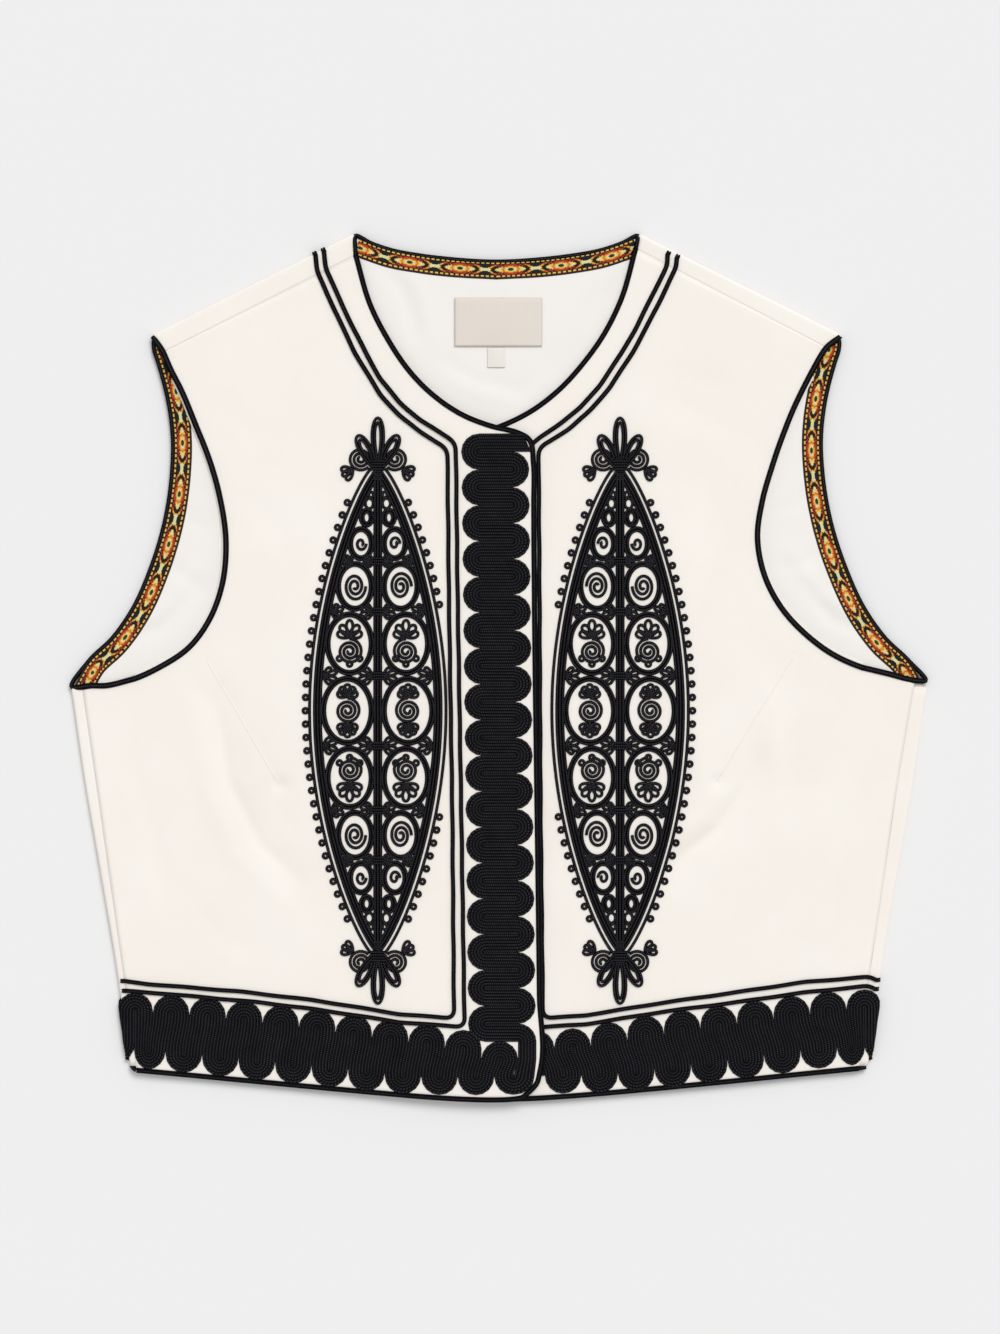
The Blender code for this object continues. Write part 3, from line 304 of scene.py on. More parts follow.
# How far up from the back's hem edge its braid starts
BACK_BRAID_RISE = 2.4

# Meandering braid: six cords side by side that turn in half rings
BRAID_CORDS = 6
BRAID_PITCH = 1.69
LEG_PITCH = 10.05
LOBE_RADIUS = 10.0
LOBE_STEPS = 9
PLACKET_PITCH = 9.825
PLACKET_TOP_LEG = 123.3
PLACKET_LEGS = 34
PLACKET_LEFT = (-20.9, -17.0)
PLACKET_RIGHT = (16.5, 20.4)
PLACKET_DROP_X = 10.5
PLACKET_DROP_Y = -206.0
PLACKET_START_X = 15.4
PLACKET_START_SKEW = 0.45
HemLine = namedtuple("HemLine", "s top bottom")
RIGHT_HEM_LINE = (
    HemLine(-30.0, -206.0, -234.6),
    HemLine(0.0, -205.6, -235.2),
    HemLine(20.0, -199.4, -235.2),
    HemLine(40.7, -196.2, -235.0),
    HemLine(62.0, -193.8, -234.2),
    HemLine(81.0, -191.2, -232.0),
    HemLine(100.6, -188.4, -230.0),
    HemLine(121.0, -186.2, -228.2),
    HemLine(141.0, -183.8, -226.2),
    HemLine(161.0, -181.8, -224.0),
    HemLine(210.0, -178.4, -219.6),
)
LEFT_HEM_LINE = (
    HemLine(10.0, -200.4, -234.8),
    HemLine(40.4, -198.9, -234.6),
    HemLine(60.4, -195.6, -234.0),
    HemLine(80.4, -192.0, -232.4),
    HemLine(100.4, -189.0, -230.2),
    HemLine(120.0, -186.6, -227.6),
    HemLine(140.0, -183.8, -225.2),
    HemLine(160.0, -181.2, -222.2),
    HemLine(180.0, -178.8, -219.8),
    HemLine(210.0, -176.6, -218.0),
)
RIGHT_HEM_FIRST_LEG = -15.5
LEFT_HEM_FIRST_LEG = 15.4
RIGHT_HEM_LEAN = 3.0
LEFT_HEM_LEAN = 4.8
# The hem braid's fold moves out by this share of the height above this line
HEM_SLANT = 0.14
HEM_SLANT_FROM_Y = -219.5

# Almond medallion of ring scrolls
MEDALLION_X = 66.6
MEDALLION_Y = -24.0
ALMOND_HALF_WIDTH = 35.6
ALMOND_HALF_LENGTH = 134.0
ALMOND_POWER = 0.72
FRAME_BAND = 4.5
STEM_BAND = 4.5
SCROLL_STRETCH = 1.3
SCROLL_SPACE = 0.9
SCROLL_LEVELS = 3
CORD_PITCH = 1.62
FINIAL_OUT = 9.7
FINIAL_UP = 138.5
FINIAL_RADIUS = 6.4
PETAL_ROOT = 131.0
# Each petal of a fan has its own direction, in radians from the fan's middle
PALMETTE_FAN = (-1.25, -0.66, 0.0, 0.66, 1.25)
SPANDREL_FAN = (-0.85, -0.3, 0.3, 0.85)
BERRY_FAN = (-0.75, 0.0, 0.75)
FINIAL_PETALS = ((-0.5, 23.0), (0.0, 30.0), (0.5, 23.0))
PETAL_LIFT = 0.1
FINIAL_PETAL_LIFT = 0.35
COIL_HEART = 0.8
FRAME_INSET = 0.8
OUTSIDE_CORD = 1.9
BEAD_OUT = 4.2
BEAD_SPACING = 7.4
BEAD_RADIUS = 1.3
SCROLL_CORD_HEIGHT = 0.62
SCROLL_CORD_LIFT = 0.4

# Woven tape
TAPE_WIDTH = 10.4
NECK_TAPE_EDGE = -0.5
ARMHOLE_TAPE_EDGE = 0.1
TAPE_CELL = 0.55
TAPE_THREAD = 0.4
TAPE_REPEAT = 27.5
TAPE_LIFT = 0.35
TAPE_EDGE_DROP = 0.2
TAPE_THICKNESS = 0.0005
ARMHOLE_TAPE_REACH = 233.8
NECK_TAPE_END = 76.0
NECK_TAPE_SHIFT = 7.5
ARMHOLE_TAPE_START = ((237.4, -15.8), (233.0, -8.6))
LEFT_TAPE_PHASE = -26
RIGHT_TAPE_PHASE = -32

# How far the middle of the facing's edge lies inside the armhole's edge, and how deep
FACING_OUT = 1.7
FACING_LIFT = -0.85
DART_LIFT = -0.02

LABEL_CENTRE = (-0.4, 190.0)
LABEL_SIZE = (48.4, 26.8)
TAB_CENTRE = (-1.5, 170.4)
TAB_SIZE = (9.9, 11.0)
LABEL_THICKNESS = 0.0004
LABEL_BULGE = 0.35
LABEL_END_DROP = 0.25
LABEL_TOP_DROP = 0.35

PHOTO_SCALE = 0.55
PHOTO_HEIGHT = 1334
PHOTO_CENTRE = (0.55, 0.0)
LENS = 85.0
SENSOR = 36.0
FLOOR_SIZE = 6.0
KEY_LIGHT_PLACE = (0.45, 1.0, 1.35)
KEY_LIGHT_SPREAD = 30.0


# Curves and heights in plan


def smooth(t):
    t = np.clip(t, 0.0, 1.0)
    return t * t * (3 - 2 * t)


def lean(y):
    """How far the upper part of the back leans to one side."""
    return LEAN * smooth((y - LEAN_FROM_Y) / LEAN_LENGTH)


def places(*lines):
    """How far along each point lies, as the mean over lines that share their points."""
    steps = [np.linalg.norm(np.diff(np.asarray(line, float), axis=0), axis=1) for line in lines]
    return np.concatenate([[0.0], np.cumsum(np.maximum(np.mean(steps, axis=0), 0.2))])


def curve_at(points, at, where):
    """A smooth curve through points whose places along it are at, read at where."""
    points, where = np.asarray(points, float), np.asarray(where, float)
    step = np.diff(at)[:, None]
    slope = np.diff(points, axis=0) / step
    tangent = np.empty_like(points)
    tangent[1:-1] = (slope[1:] * step[:-1] + slope[:-1] * step[1:]) / (step[1:] + step[:-1])
    tangent[0], tangent[-1] = slope[0], slope[-1]
    i = np.clip(np.searchsorted(at, where, "right") - 1, 0, len(at) - 2)
    t = ((where - at[i]) / step[i, 0])[:, None]
    a, b = points[i], points[i + 1]
    ta, tb = tangent[i] * step[i], tangent[i + 1] * step[i]
    return (
        a * (2 * t**3 - 3 * t**2 + 1) + ta * (t**3 - 2 * t**2 + t)
        + b * (3 * t**2 - 2 * t**3) + tb * (t**3 - t**2)
    )


def smooth_line(points, spacing):
    """A smooth line through points, with a point about every spacing."""
    at = places(points)
    return curve_at(points, at, np.linspace(0, at[-1], max(2, round(at[-1] / spacing) + 1)))


def even_line(points, spacing):
    """The same line with its points at even distances."""
    points = np.asarray(points, float)
    at = places(points)
    where = np.linspace(0, at[-1], max(2, round(at[-1] / spacing) + 1))
    return np.column_stack([np.interp(where, at, column) for column in points.T])


def laid_line(points, spacing, corner=3.0):
    """Straight runs through points, with small round corners, as a hand lays a cord."""
    line = even_line(points, spacing)
    half = max(1, round(corner / spacing / 2))
    for _ in range(2):
        steps = np.minimum(np.minimum(np.arange(len(line)), np.arange(len(line))[::-1]), half)
        total = np.vstack([[0.0, 0.0], np.cumsum(line, axis=0)])
        i = np.arange(len(line))
        line = (total[i + steps + 1] - total[i - steps]) / (2 * steps + 1)[:, None]
    return line


def offset_line(line, distance):
    """The line moved sideways, to the left of its direction."""
    line = np.asarray(line, float)
    along = np.gradient(line, axis=0)
    along /= np.linalg.norm(along, axis=1)[:, None]
    return line + np.column_stack([-along[:, 1], along[:, 0]]) * distance


def on_side(side, line):
    """A line of the wearer's left half, as it lies on this side of the leaning back."""
    return np.column_stack([side * line[:, 0] + lean(line[:, 1]), line[:, 1]])


def near_line(x, y, line):
    """(distance, share of the way along) from points to a line of straight stretches."""
    line = np.asarray(line, float)
    lengths = np.linalg.norm(np.diff(line, axis=0), axis=1)
    best, share = np.full(np.shape(x), 1e9), np.zeros(np.shape(x))
    done = 0.0
    for a, b, length in zip(line, line[1:], lengths):
        dx, dy = (b - a) / length
        t = np.clip((x - a[0]) * dx + (y - a[1]) * dy, 0, length)
        distance = np.hypot(x - a[0] - dx * t, y - a[1] - dy * t)
        closer = distance < best
        best = np.where(closer, distance, best)
        share = np.where(closer, (done + t) / lengths.sum(), share)
        done += length
    return best, share


def crease_depth(x, y, table, fade=True):
    """The depth of soft creases, each fading towards its ends."""
    depth = np.zeros(np.shape(x))
    for crease in table:
        distance, share = near_line(x, y, crease.line)
        ends = np.sqrt(np.clip(np.sin(math.pi * np.clip(share, 0.02, 0.98)), 0, 1)) if fade else 1.0
        depth += crease.depth * ends * np.exp(-((distance / crease.half_width) ** 2))
    return depth


def crown(x, y):
    """The fullness at the middle of each front."""
    across = (np.abs(x) - CROWN_X) / CROWN_HALF_WIDTH
    along = (y - CROWN_Y) / CROWN_HALF_LENGTH
    return CROWN * np.exp(-across * across - along * along)


def ripple(x, y):
    """Faint unevenness of cloth that wear and pressing have left."""
    return (
        0.10 * np.sin(x / 17.0 + 1.3 * np.sin(y / 41.0))
        + 0.09 * np.sin(y / 23.0 + 1.1 * np.sin(x / 29.0) + 0.7)
        + 0.05 * np.sin((x + 0.6 * y) / 9.0 + 1.7 * np.sin(y / 19.0))
    )


def left_front_z(x, y):
    """The height of the left front's right side, with its creases."""
    x, y = np.asarray(x, float), np.asarray(y, float)
    height = FRONT_TOP + crown(x, y) - crease_depth(x, y, MAIN_FOLDS, fade=False)
    height = height - CREASE_SCALE * crease_depth(x, y, CREASES) + RIPPLE_SCALE * ripple(x, y)
    for dart in DARTS:
        distance, share = near_line(x, y, dart)
        height = height - DART_GROOVE * np.exp(-((distance / DART_WIDTH) ** 2)) * (1 - 0.4 * share)
        end_x, end_y = np.add(dart[-1], PUCKER_OFFSET)
        pucker = np.hypot(x - end_x, y - end_y)
        height = height - PUCKER_DEPTH * np.exp(-((pucker / PUCKER_WIDTH) ** 2))
    return height


def right_front_z(x, y):
    """The height of the right front, which laps over the left one."""
    rise = smooth((np.asarray(x, float) - LAP_START_X) / (LAP_FULL_X - LAP_START_X))
    return left_front_z(x, y) + LAP_RISE * rise


Front = namedtuple("Front", "side word seam_rows armhole_rows z_of")
RIGHT = Front(-1, "right", RIGHT_SEAM_ROWS, RIGHT_ARMHOLE_ROWS, right_front_z)
LEFT = Front(1, "left", LEFT_SEAM_ROWS, LEFT_ARMHOLE_ROWS, left_front_z)


def lining_z(x, y):
    """The height of the lining that shows in the neck and the armholes."""
    height = LINING_TOP + 0.1 - 1.5 * crease_depth(x, y, LINING_CREASES)
    return height + 0.8 * ripple(x * 1.7, y * 1.5)


def sag(bow, t, power):
    """How far a row hangs below the straight line between its ends."""
    return bow * np.sin(math.pi * t**power)


def back_hem_y(x):
    """The height up the body of the back's hem edge, this far from the middle."""
    row = BACK_SIDE_ROWS[0]
    t = np.clip(np.abs(x) / row.outer_x, 0, 1)
    return row.inner_y + (row.outer_y - row.inner_y) * t - sag(row.bow, t, BACK_BOW_POWER)


def under_z(x, y):
    """The height of the back's outside above the surface, held up where trims lie under it."""
    hem = smooth((back_hem_y(x) + HEM_TRIMS_HEIGHT - y) / 12.0)
    neck = smooth((NECK_TRIMS_RADIUS - np.hypot(x, y - NECK_TRIMS_Y)) / 9.0)
    side = smooth((np.abs(x) - np.interp(y, [-235, -11], [190.0, 221.0])) / 10.0)
    lift = np.maximum(np.maximum(hem, neck), side)
    return REST_LIFT + (TRIM_LIFT - REST_LIFT) * lift


# Shader helpers


class Value:
    """A socket that takes part in Python arithmetic, each operation adding a Math node."""

    def __init__(self, nodes, socket):
        self.nodes, self.socket = nodes, socket

    def _math(self, operation, *values):
        node = self.nodes.add("ShaderNodeMath", {"operation": operation}, dict(enumerate(values)))
        return Value(self.nodes, node.outputs[0])

    def __add__(self, other):
        return self._math("ADD", self, other)

    def __sub__(self, other):
        return self._math("SUBTRACT", self, other)

    def __mul__(self, other):
        return self._math("MULTIPLY", self, other)

    def __radd__(self, other):
        return self._math("ADD", other, self)

    def __rsub__(self, other):
        return self._math("SUBTRACT", other, self)

    def __rmul__(self, other):
        return self._math("MULTIPLY", other, self)

    def sin(self):
        return self._math("SINE", self)

    def abs(self):
        return self._math("ABSOLUTE", self)

    def clamp(self):
        return self._math("MINIMUM", self._math("MAXIMUM", self, 0.0), 1.0)


class Nodes:
    """The node tree of one material."""

    def __init__(self, name):
        self.material = bpy.data.materials.new(name)
        self.material.use_nodes = True
        self.tree = self.material.node_tree
        self.surface = self.tree.nodes["Principled BSDF"]

    def add(self, kind, settings=None, inputs=None):
        node = self.tree.nodes.new(kind)
        for key, value in (settings or {}).items():
            setattr(node, key, value)
        self.feed(node, inputs or {})
        return node

    def feed(self, node, inputs):
        for key, value in inputs.items():
            if isinstance(value, Value):
                value = value.socket
            if isinstance(value, bpy.types.NodeSocket):
                self.tree.links.new(value, node.inputs[key])
            else:
                node.inputs[key].default_value = value

    def place(self):
        """Object coordinates in millimetres, as (x, y, z) values and as a vector."""
        coordinates = self.add("ShaderNodeTexCoord").outputs["Object"]
        scaled = self.add(
            "ShaderNodeVectorMath", {"operation": "SCALE"}, {0: coordinates, "Scale": 1 / MM}
        ).outputs[0]
        parts = self.add("ShaderNodeSeparateXYZ", inputs={0: scaled}).outputs
        return [Value(self, part) for part in parts], scaled

    def attribute(self, name, output="Fac"):
        """What the mesh carries under this name."""
        node = self.add("ShaderNodeAttribute", {"attribute_name": name})
        return Value(self, node.outputs[output])

    def noise(self, vector, scale, detail=2.0, roughness=0.5):
        node = self.add(
            "ShaderNodeTexNoise", None,
            {"Vector": vector, "Scale": scale, "Detail": detail, "Roughness": roughness},
        )
        return Value(self, node.outputs["Fac"])

    def mix(self, share, first, second):
        node = self.add(
            "ShaderNodeMix", {"data_type": "RGBA"}, {0: share, 6: first, 7: second}
        )
        return node.outputs[2]

    def finish(self, colour, roughness, height=None, depth=0.0, **constants):
        inputs = {"Base Color": colour, "Roughness": roughness, "Metallic": 0.0}
        if height is not None:
            bump = self.add(
                "ShaderNodeBump", None, {"Strength": 1.0, "Distance": depth * MM, "Height": height}
            )
            inputs["Normal"] = bump.outputs[0]
        self.feed(self.surface, inputs)
        for key, value in constants.items():
            self.surface.inputs[key.replace("_", " ")].default_value = value
        return self.material


def opaque(colour):
    return (*colour, 1.0)


def shade(colour, factor):
    return tuple(value * factor for value in colour)


def tinted(colour):
    """The cloth's slightly pinker shade."""
    return (colour[0] * 0.985, colour[1] * 0.970, colour[2] * 0.968)


def cloth_material(name, colour, pitch, relief, sheen):
    """Fine twill: slanting ribs, uneven threads and a slightly uneven tone."""
    nodes = Nodes(name)
    (x, y, _), vector = nodes.place()
    rib = ((x * 0.8 + y) * (2 * math.pi / pitch)).sin()
    thread = nodes.noise(vector, 2.6, 3.0, 0.6)
    cloudy = nodes.noise(vector, 0.021, 3.0, 0.55)
    fleck = nodes.noise(vector, 0.9, 2.0, 0.7)
    tone = nodes.mix(
        ((cloudy - 0.35) * 2.2).clamp(), opaque(tinted(colour)), opaque(shade(colour, 1.008))
    )
    tone = nodes.mix(((fleck - 0.5) * 1.2).clamp() * 0.35, tone, opaque(shade(colour, 0.955)))
    height = rib * 0.35 + thread * 0.9
    rough = 0.78 + (thread - 0.5) * 0.16
    return nodes.finish(
        tone, rough, height, relief,
        Sheen_Weight=sheen, Sheen_Roughness=0.5, Specular_IOR_Level=0.25,
    )


def cord_material(name, colour, twist, glint):
    """Black cord: slanting plies, with a painted highlight on their crowns."""
    nodes = Nodes(name)
    along, across = nodes.attribute("along"), nodes.attribute("across")
    _, vector = nodes.place()
    ply = ((along + across.abs() * 0.8) * (2 * math.pi / twist)).sin()
    fuzz = nodes.noise(vector, 1.9, 3.0, 0.65)
    # Painted highlight: a lighter tone on each ply's crown and each cord's middle, stronger in random
    # patches
    glint_patches = nodes.noise(vector, 0.12, 2.0, 0.5)
    crown = ply * 0.5 + 0.5
    crown_light = (crown * crown * (fuzz - 0.15) * 2.4).clamp()
    ridge = (1.0 - across.abs() * 2.2).clamp()
    tone = nodes.mix(
        crown_light * ridge * 1.3 * (0.5 + glint_patches), opaque(colour), opaque(glint)
    )
    height = ply * 0.5 + fuzz * 0.8
    rough = 0.52 + (fuzz - 0.5) * 0.3
    return nodes.finish(
        tone, rough, height, 0.16,
        Sheen_Weight=0.0, Specular_IOR_Level=0.045,
    )


def tape_material(name):
    """Jacquard tape: the colour of each stitch is on the mesh, and threads add relief."""
    nodes = Nodes(name)
    colour = nodes.attribute("stitch", "Color")
    along, across = nodes.attribute("along"), nodes.attribute("across")
    _, vector = nodes.place()
    weft = (across * (2 * math.pi / TAPE_THREAD)).sin()
    warp = (along * (2 * math.pi / TAPE_CELL)).sin()
    fuzz = nodes.noise(vector, 2.2, 3.0, 0.6)
    dark = nodes.mix(0.45, colour, (0.02, 0.012, 0.01, 1.0))
    tone = nodes.mix(((fuzz - 0.45) * 2.0).clamp() * 0.35, colour, dark)
    height = weft * 0.4 + warp * 0.3 + fuzz * 0.6
    return nodes.finish(
        tone, 0.55 + fuzz * 0.2, height, 0.2,
        Sheen_Weight=0.1, Sheen_Roughness=0.4, Specular_IOR_Level=0.35,
    )


def label_material(name, colour):
    """Satin label cloth with fine ribs both ways."""
    nodes = Nodes(name)
    (x, y, _), vector = nodes.place()
    rib = (y * (2 * math.pi / 0.55)).sin() * 0.5 + (x * (2 * math.pi / 0.8)).sin() * 0.25
    fuzz = nodes.noise(vector, 1.4, 3.0, 0.6)
    tone = nodes.mix(((fuzz - 0.4) * 1.6).clamp() * 0.4, opaque(colour), opaque(shade(colour, 0.93)))
    return nodes.finish(
        tone, 0.5 + (fuzz - 0.5) * 0.2, rib + fuzz * 0.6, 0.08,
        Sheen_Weight=0.1, Specular_IOR_Level=0.4,
    )


def floor_material(name, colour):
    nodes = Nodes(name)
    _, vector = nodes.place()
    grain = nodes.noise(vector, 0.02, 2.0, 0.5)
    tone = nodes.mix(grain, opaque(shade(colour, 0.998)), opaque(shade(colour, 1.002)))
    return nodes.finish(tone, 0.9, Specular_IOR_Level=0.1)


# Meshes


def mesh_object(name, points, faces, material, along=None, across=None):
    """A smooth shaded mesh of points in millimetres."""
    points = np.asarray(points, float)
    mesh = bpy.data.meshes.new(name)
    mesh.from_pydata((points * MM).tolist(), [], [list(map(int, face)) for face in faces])
    for key, values in (("along", along), ("across", across)):
        if values is not None:
            field = mesh.attributes.new(key, "FLOAT", "POINT")
            field.data.foreach_set("value", np.asarray(values, np.float32))
    mesh.polygons.foreach_set("use_smooth", [True] * len(mesh.polygons))
    mesh.update()
    mesh.materials.append(material)
    obj = bpy.data.objects.new(name, mesh)
    bpy.context.scene.collection.objects.link(obj)
    return obj


def grid_faces(rows, columns, first=0, flip=False):
    i, j = np.meshgrid(np.arange(rows - 1), np.arange(columns - 1), indexing="ij")
    a = (first + i * columns + j).ravel()
    quads = np.column_stack([a, a + 1, a + columns + 1, a + columns])
    return (quads[:, ::-1] if flip else quads).tolist()


def select_only(obj):
    bpy.ops.object.select_all(action="DESELECT")
    obj.select_set(True)
    bpy.context.view_layer.objects.active = obj


def make_shell(obj, thickness):
    """Joins points that meet, then gives a sheet its thickness behind its faces."""
    select_only(obj)
    bpy.ops.object.mode_set(mode="EDIT")
    bpy.ops.mesh.select_all(action="SELECT")
    bpy.ops.mesh.remove_doubles(threshold=0.00002)
    bpy.ops.object.mode_set(mode="OBJECT")
    solidify = obj.modifiers.new("Cloth", "SOLIDIFY")
    solidify.thickness = thickness
    solidify.offset = -1.0
    bpy.ops.object.modifier_apply(modifier=solidify.name)
    return obj


def add_piece(obj, slot, *nodes):
    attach(obj, BODY)
    if nodes:
        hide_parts(*nodes)


Strand = namedtuple("Strand", "points normals heights widths closed")


def strand(points, normals=None, heights=None, widths=None, closed=False):
    points = np.asarray(points, float)
    if normals is None:
        normals = np.tile((0.0, 0.0, 1.0), (len(points), 1))
    if heights is None:
        heights = np.ones(len(points))
    if widths is None:
        widths = np.ones(len(points))
    return Strand(points, np.asarray(normals, float), np.asarray(heights, float), widths, closed)


def tube_faces(rows, count, first=0, closed=False):
    """The faces of a tube of rings with count points each, capped unless its ends meet."""
    i, j = np.meshgrid(np.arange(rows if closed else rows - 1), np.arange(count), indexing="ij")
    here, beyond = first + i * count, first + (i + 1) % rows * count
    following = (j + 1) % count
    quads = np.stack([here + j, here + following, beyond + following, beyond + j], axis=-1)
    faces = quads.reshape(-1, 4).tolist()
    if not closed:
        faces.append([first + k for k in range(count)][::-1])
        faces.append([first + (rows - 1) * count + k for k in range(count)])
    return faces


def sweep(name, strands, section, material):
    """Sweeps a closed section of (across, up) points along strands that lie on cloth."""
    count = len(section)
    points, faces, along, across = [], [], [], []
    for line in strands:
        p, normal = line.points, line.normals
        if line.closed:
            tangent = np.roll(p, -1, axis=0) - np.roll(p, 1, axis=0)
        else:
            tangent = np.gradient(p, axis=0)
        side = np.cross(tangent, normal)
        side /= np.maximum(np.linalg.norm(side, axis=1), 1e-9)[:, None]
        up = section[None, :, 1, None] * line.heights[:, None, None] * normal[:, None, :]
        out = section[None, :, 0, None] * line.widths[:, None, None] * side[:, None, :]
        ring = p[:, None, :] + out + up
        ring[..., 2] = np.maximum(ring[..., 2], LOWEST)
        faces += tube_faces(len(p), count, sum(map(len, points)), line.closed)
        points.append(ring.reshape(-1, 3))
        along.append(np.repeat(places(p), count))
        across.append(np.tile(section[:, 0], len(p)))
    points = np.concatenate(points)
    return mesh_object(name, points, faces, material, np.concatenate(along), np.concatenate(across))


def round_section(half_width, half_height, sides):
    turn = 2 * math.pi * np.arange(sides) / sides
    return np.column_stack([half_width * np.cos(turn), half_height * np.sin(turn)])


def twin_section(half_width, half_height):
    """Soutache: two rounded cords with a groove between them."""
    across = np.array([1.0, 0.86, 0.5, 0.14, 0.0, -0.14, -0.5, -0.86, -1.0, -0.7, 0.7])
    up = np.array([0.0, 0.66, 1.0, 0.62, 0.3, 0.62, 1.0, 0.66, 0.0, -0.6, -0.6])
    return np.column_stack([across * half_width, up * half_height])


def ribbon_section():
    """Six cords side by side, as one closed outline."""
    half = BRAID_CORDS * BRAID_PITCH / 2
    across, up = [half], [-0.15]
    for k in range(BRAID_CORDS):
        right = half - k * BRAID_PITCH
        across += [right, right - 0.2 * BRAID_PITCH, right - 0.5 * BRAID_PITCH, right - 0.8 * BRAID_PITCH]
        up += [0.18 if k else 0.1, 0.8, 1.02, 0.8]
    across += [-half, -half]
    up += [0.1, -0.15]
    return np.column_stack([across, up])


def on_front(plan, front, lift):
    """Plan points laid this far above a front's cloth."""
    plan = np.asarray(plan, float)
    return np.column_stack([plan, front.z_of(plan[:, 0], plan[:, 1]) + lift])


# Cloth


def inner_ends(rows):
    return np.array([(row.inner_x, row.inner_y) for row in rows])


def outer_ends(rows):
    return np.array([(row.outer_x, row.outer_y) for row in rows])


def dense_places(at, spacing):
    """Places about this far apart, with every one of at among them."""
    runs = [
        np.linspace(low, high, max(2, round((high - low) / spacing) + 1))[:-1]
        for low, high in zip(at, at[1:])
    ]
    return np.concatenate([*runs, [at[-1]]])


def cornered_curve(points, at, corner, where):
    """A curve that is smooth on either side of one of its points, and turns sharply there."""
    before = where < at[corner]
    return np.vstack([
        curve_at(points[:corner + 1], at[:corner + 1], where[before]),
        curve_at(points[corner:], at[corner:], where[~before]),
    ])


def front_grid(front, spacing):
    """Dense rows over a front: inner ends, outer ends, bows, way past the underarm and to the top."""
    rows = front.seam_rows + front.armhole_rows
    inner, outer = inner_ends(rows), outer_ends(rows)
    at = places(inner, outer)
    where = dense_places(at, spacing)
    underarm = len(front.seam_rows) - 1
    ends = cornered_curve(outer, at, underarm, where)
    bows = np.interp(where, at, [row.bow for row in rows])
    return curve_at(inner, at, where), ends, bows, where - at[underarm], at[-1] - where


def plan_grid(starts, ends, bows, columns, power):
    """(x, y, share of the way) of the points of sagging rows between two lines of ends."""
    t = np.linspace(0, 1, columns + 1)[None, :]
    x = starts[:, :1] + (ends[:, :1] - starts[:, :1]) * t
    y = starts[:, 1:] + (ends[:, 1:] - starts[:, 1:]) * t
    return x, y - sag(bows[:, None], t, power), t


class Sheet:
    """Grids of points that together become one cloth."""

    def __init__(self):
        self.points, self.faces = [], []

    def add(self, x, y, z, flip):
        self.faces += grid_faces(*x.shape, sum(map(len, self.points)), flip)
        self.points.append(np.column_stack([x.ravel(), y.ravel(), z.ravel()]))

    def finish(self, name, material, thickness):
        obj = mesh_object(name, np.concatenate(self.points), self.faces, material)
        return make_shell(obj, thickness)


def front_sheet(name, front, material, thickness):
    inner, outer, bows, past_underarm, to_top = front_grid(front, 2.6)
    x, y, _ = plan_grid(inner, outer, bows, 96, FRONT_BOW_POWER)
    z = front.z_of(x, y)
    # Past the underarm there is no side seam, so the distance to it grows out of reach
    from_seam = np.hypot(x - outer[:, :1], y - outer[:, 1:])
    from_seam = from_seam + 40.0 * smooth(past_underarm / 6.0)[:, None]
    for distance in (from_seam, to_top[:, None]):
        groove = np.exp(-((distance / SEAM_GROOVE_WIDTH) ** 2))
        swell = np.exp(-(((distance - SEAM_SWELL_AT) / SEAM_SWELL_WIDTH) ** 2))
        z = z - SEAM_GROOVE * groove + SEAM_SWELL * swell
    sheet = Sheet()
    sheet.add(x, y, z, front.side < 0)
    return sheet.finish(name, material, thickness)


def shoulder_fold():
    """The shoulder's fold line: its neck end, its tip and the direction out of the body."""
    neck, tip = np.array(SHOULDER_NECK_END), np.array(SHOULDER_TIP)
    step = (tip - neck) / np.linalg.norm(tip - neck)
    return neck, tip, np.array([-step[1], step[0]])


def back_edges():
    """(inner, outer, bow) along one half of the back's flat part, on the wearer's left."""
    neck_end, tip, out = shoulder_fold()
    rows = BACK_SIDE_ROWS + BACK_ARMHOLE_ROWS
    outer = outer_ends(rows)
    outer[:len(BACK_SIDE_ROWS), 0] -= FOLD_ROLL
    return (
        np.vstack([inner_ends(rows), neck_end - out * FOLD_ROLL]),
        np.vstack([outer, tip - out * FOLD_ROLL]),
        np.array([row.bow for row in rows] + [0.0]),
    )


def back_half(spacing):
    """Dense rows over one half of the back: inner ends, outer ends, bows and the side count."""
    inner, outer, bows = back_edges()
    at = places(inner, outer)
    where = dense_places(at, spacing)
    underarm = len(BACK_SIDE_ROWS) - 1
    ends = cornered_curve(outer, at, underarm, where)
    starts = cornered_curve(inner, at, NECK_ROW, where)
    return starts, ends, np.interp(where, at, bows), int((where < at[underarm]).sum()) + 1


def side_roll(front, line):
    """(x, y, z) of the back's roll round a side, with the strip up to the side seam."""
    side = front.side
    x, y = np.hsplit(on_side(side, line), 2)
    turn = np.linspace(0, math.pi, ROLL_STEPS)
    roll_x = x + side * FOLD_ROLL * np.sin(turn)
    roll_z = np.broadcast_to(FOLD_MIDDLE - FOLD_ROLL * np.cos(turn), roll_x.shape)
    seam_x, seam_y = outer_ends(front.seam_rows).T
    strip_from, strip_to = roll_x[:, -1:], np.interp(y, seam_y, seam_x) - side * STRIP_TUCK
    share = np.array([[0.25, 0.5, 0.75, 0.9, 1.0]])
    strip_x = strip_from + (strip_to - strip_from) * share
    seam_z = left_front_z(strip_x, np.broadcast_to(y, strip_x.shape))
    strip_z = FRONT_TOP + (seam_z - FRONT_TOP) * share - STRIP_TUCK * (share > 0.95)
    grid_x = np.hstack([roll_x, strip_x])
    return grid_x, np.broadcast_to(y, grid_x.shape), np.hstack([roll_z, strip_z])


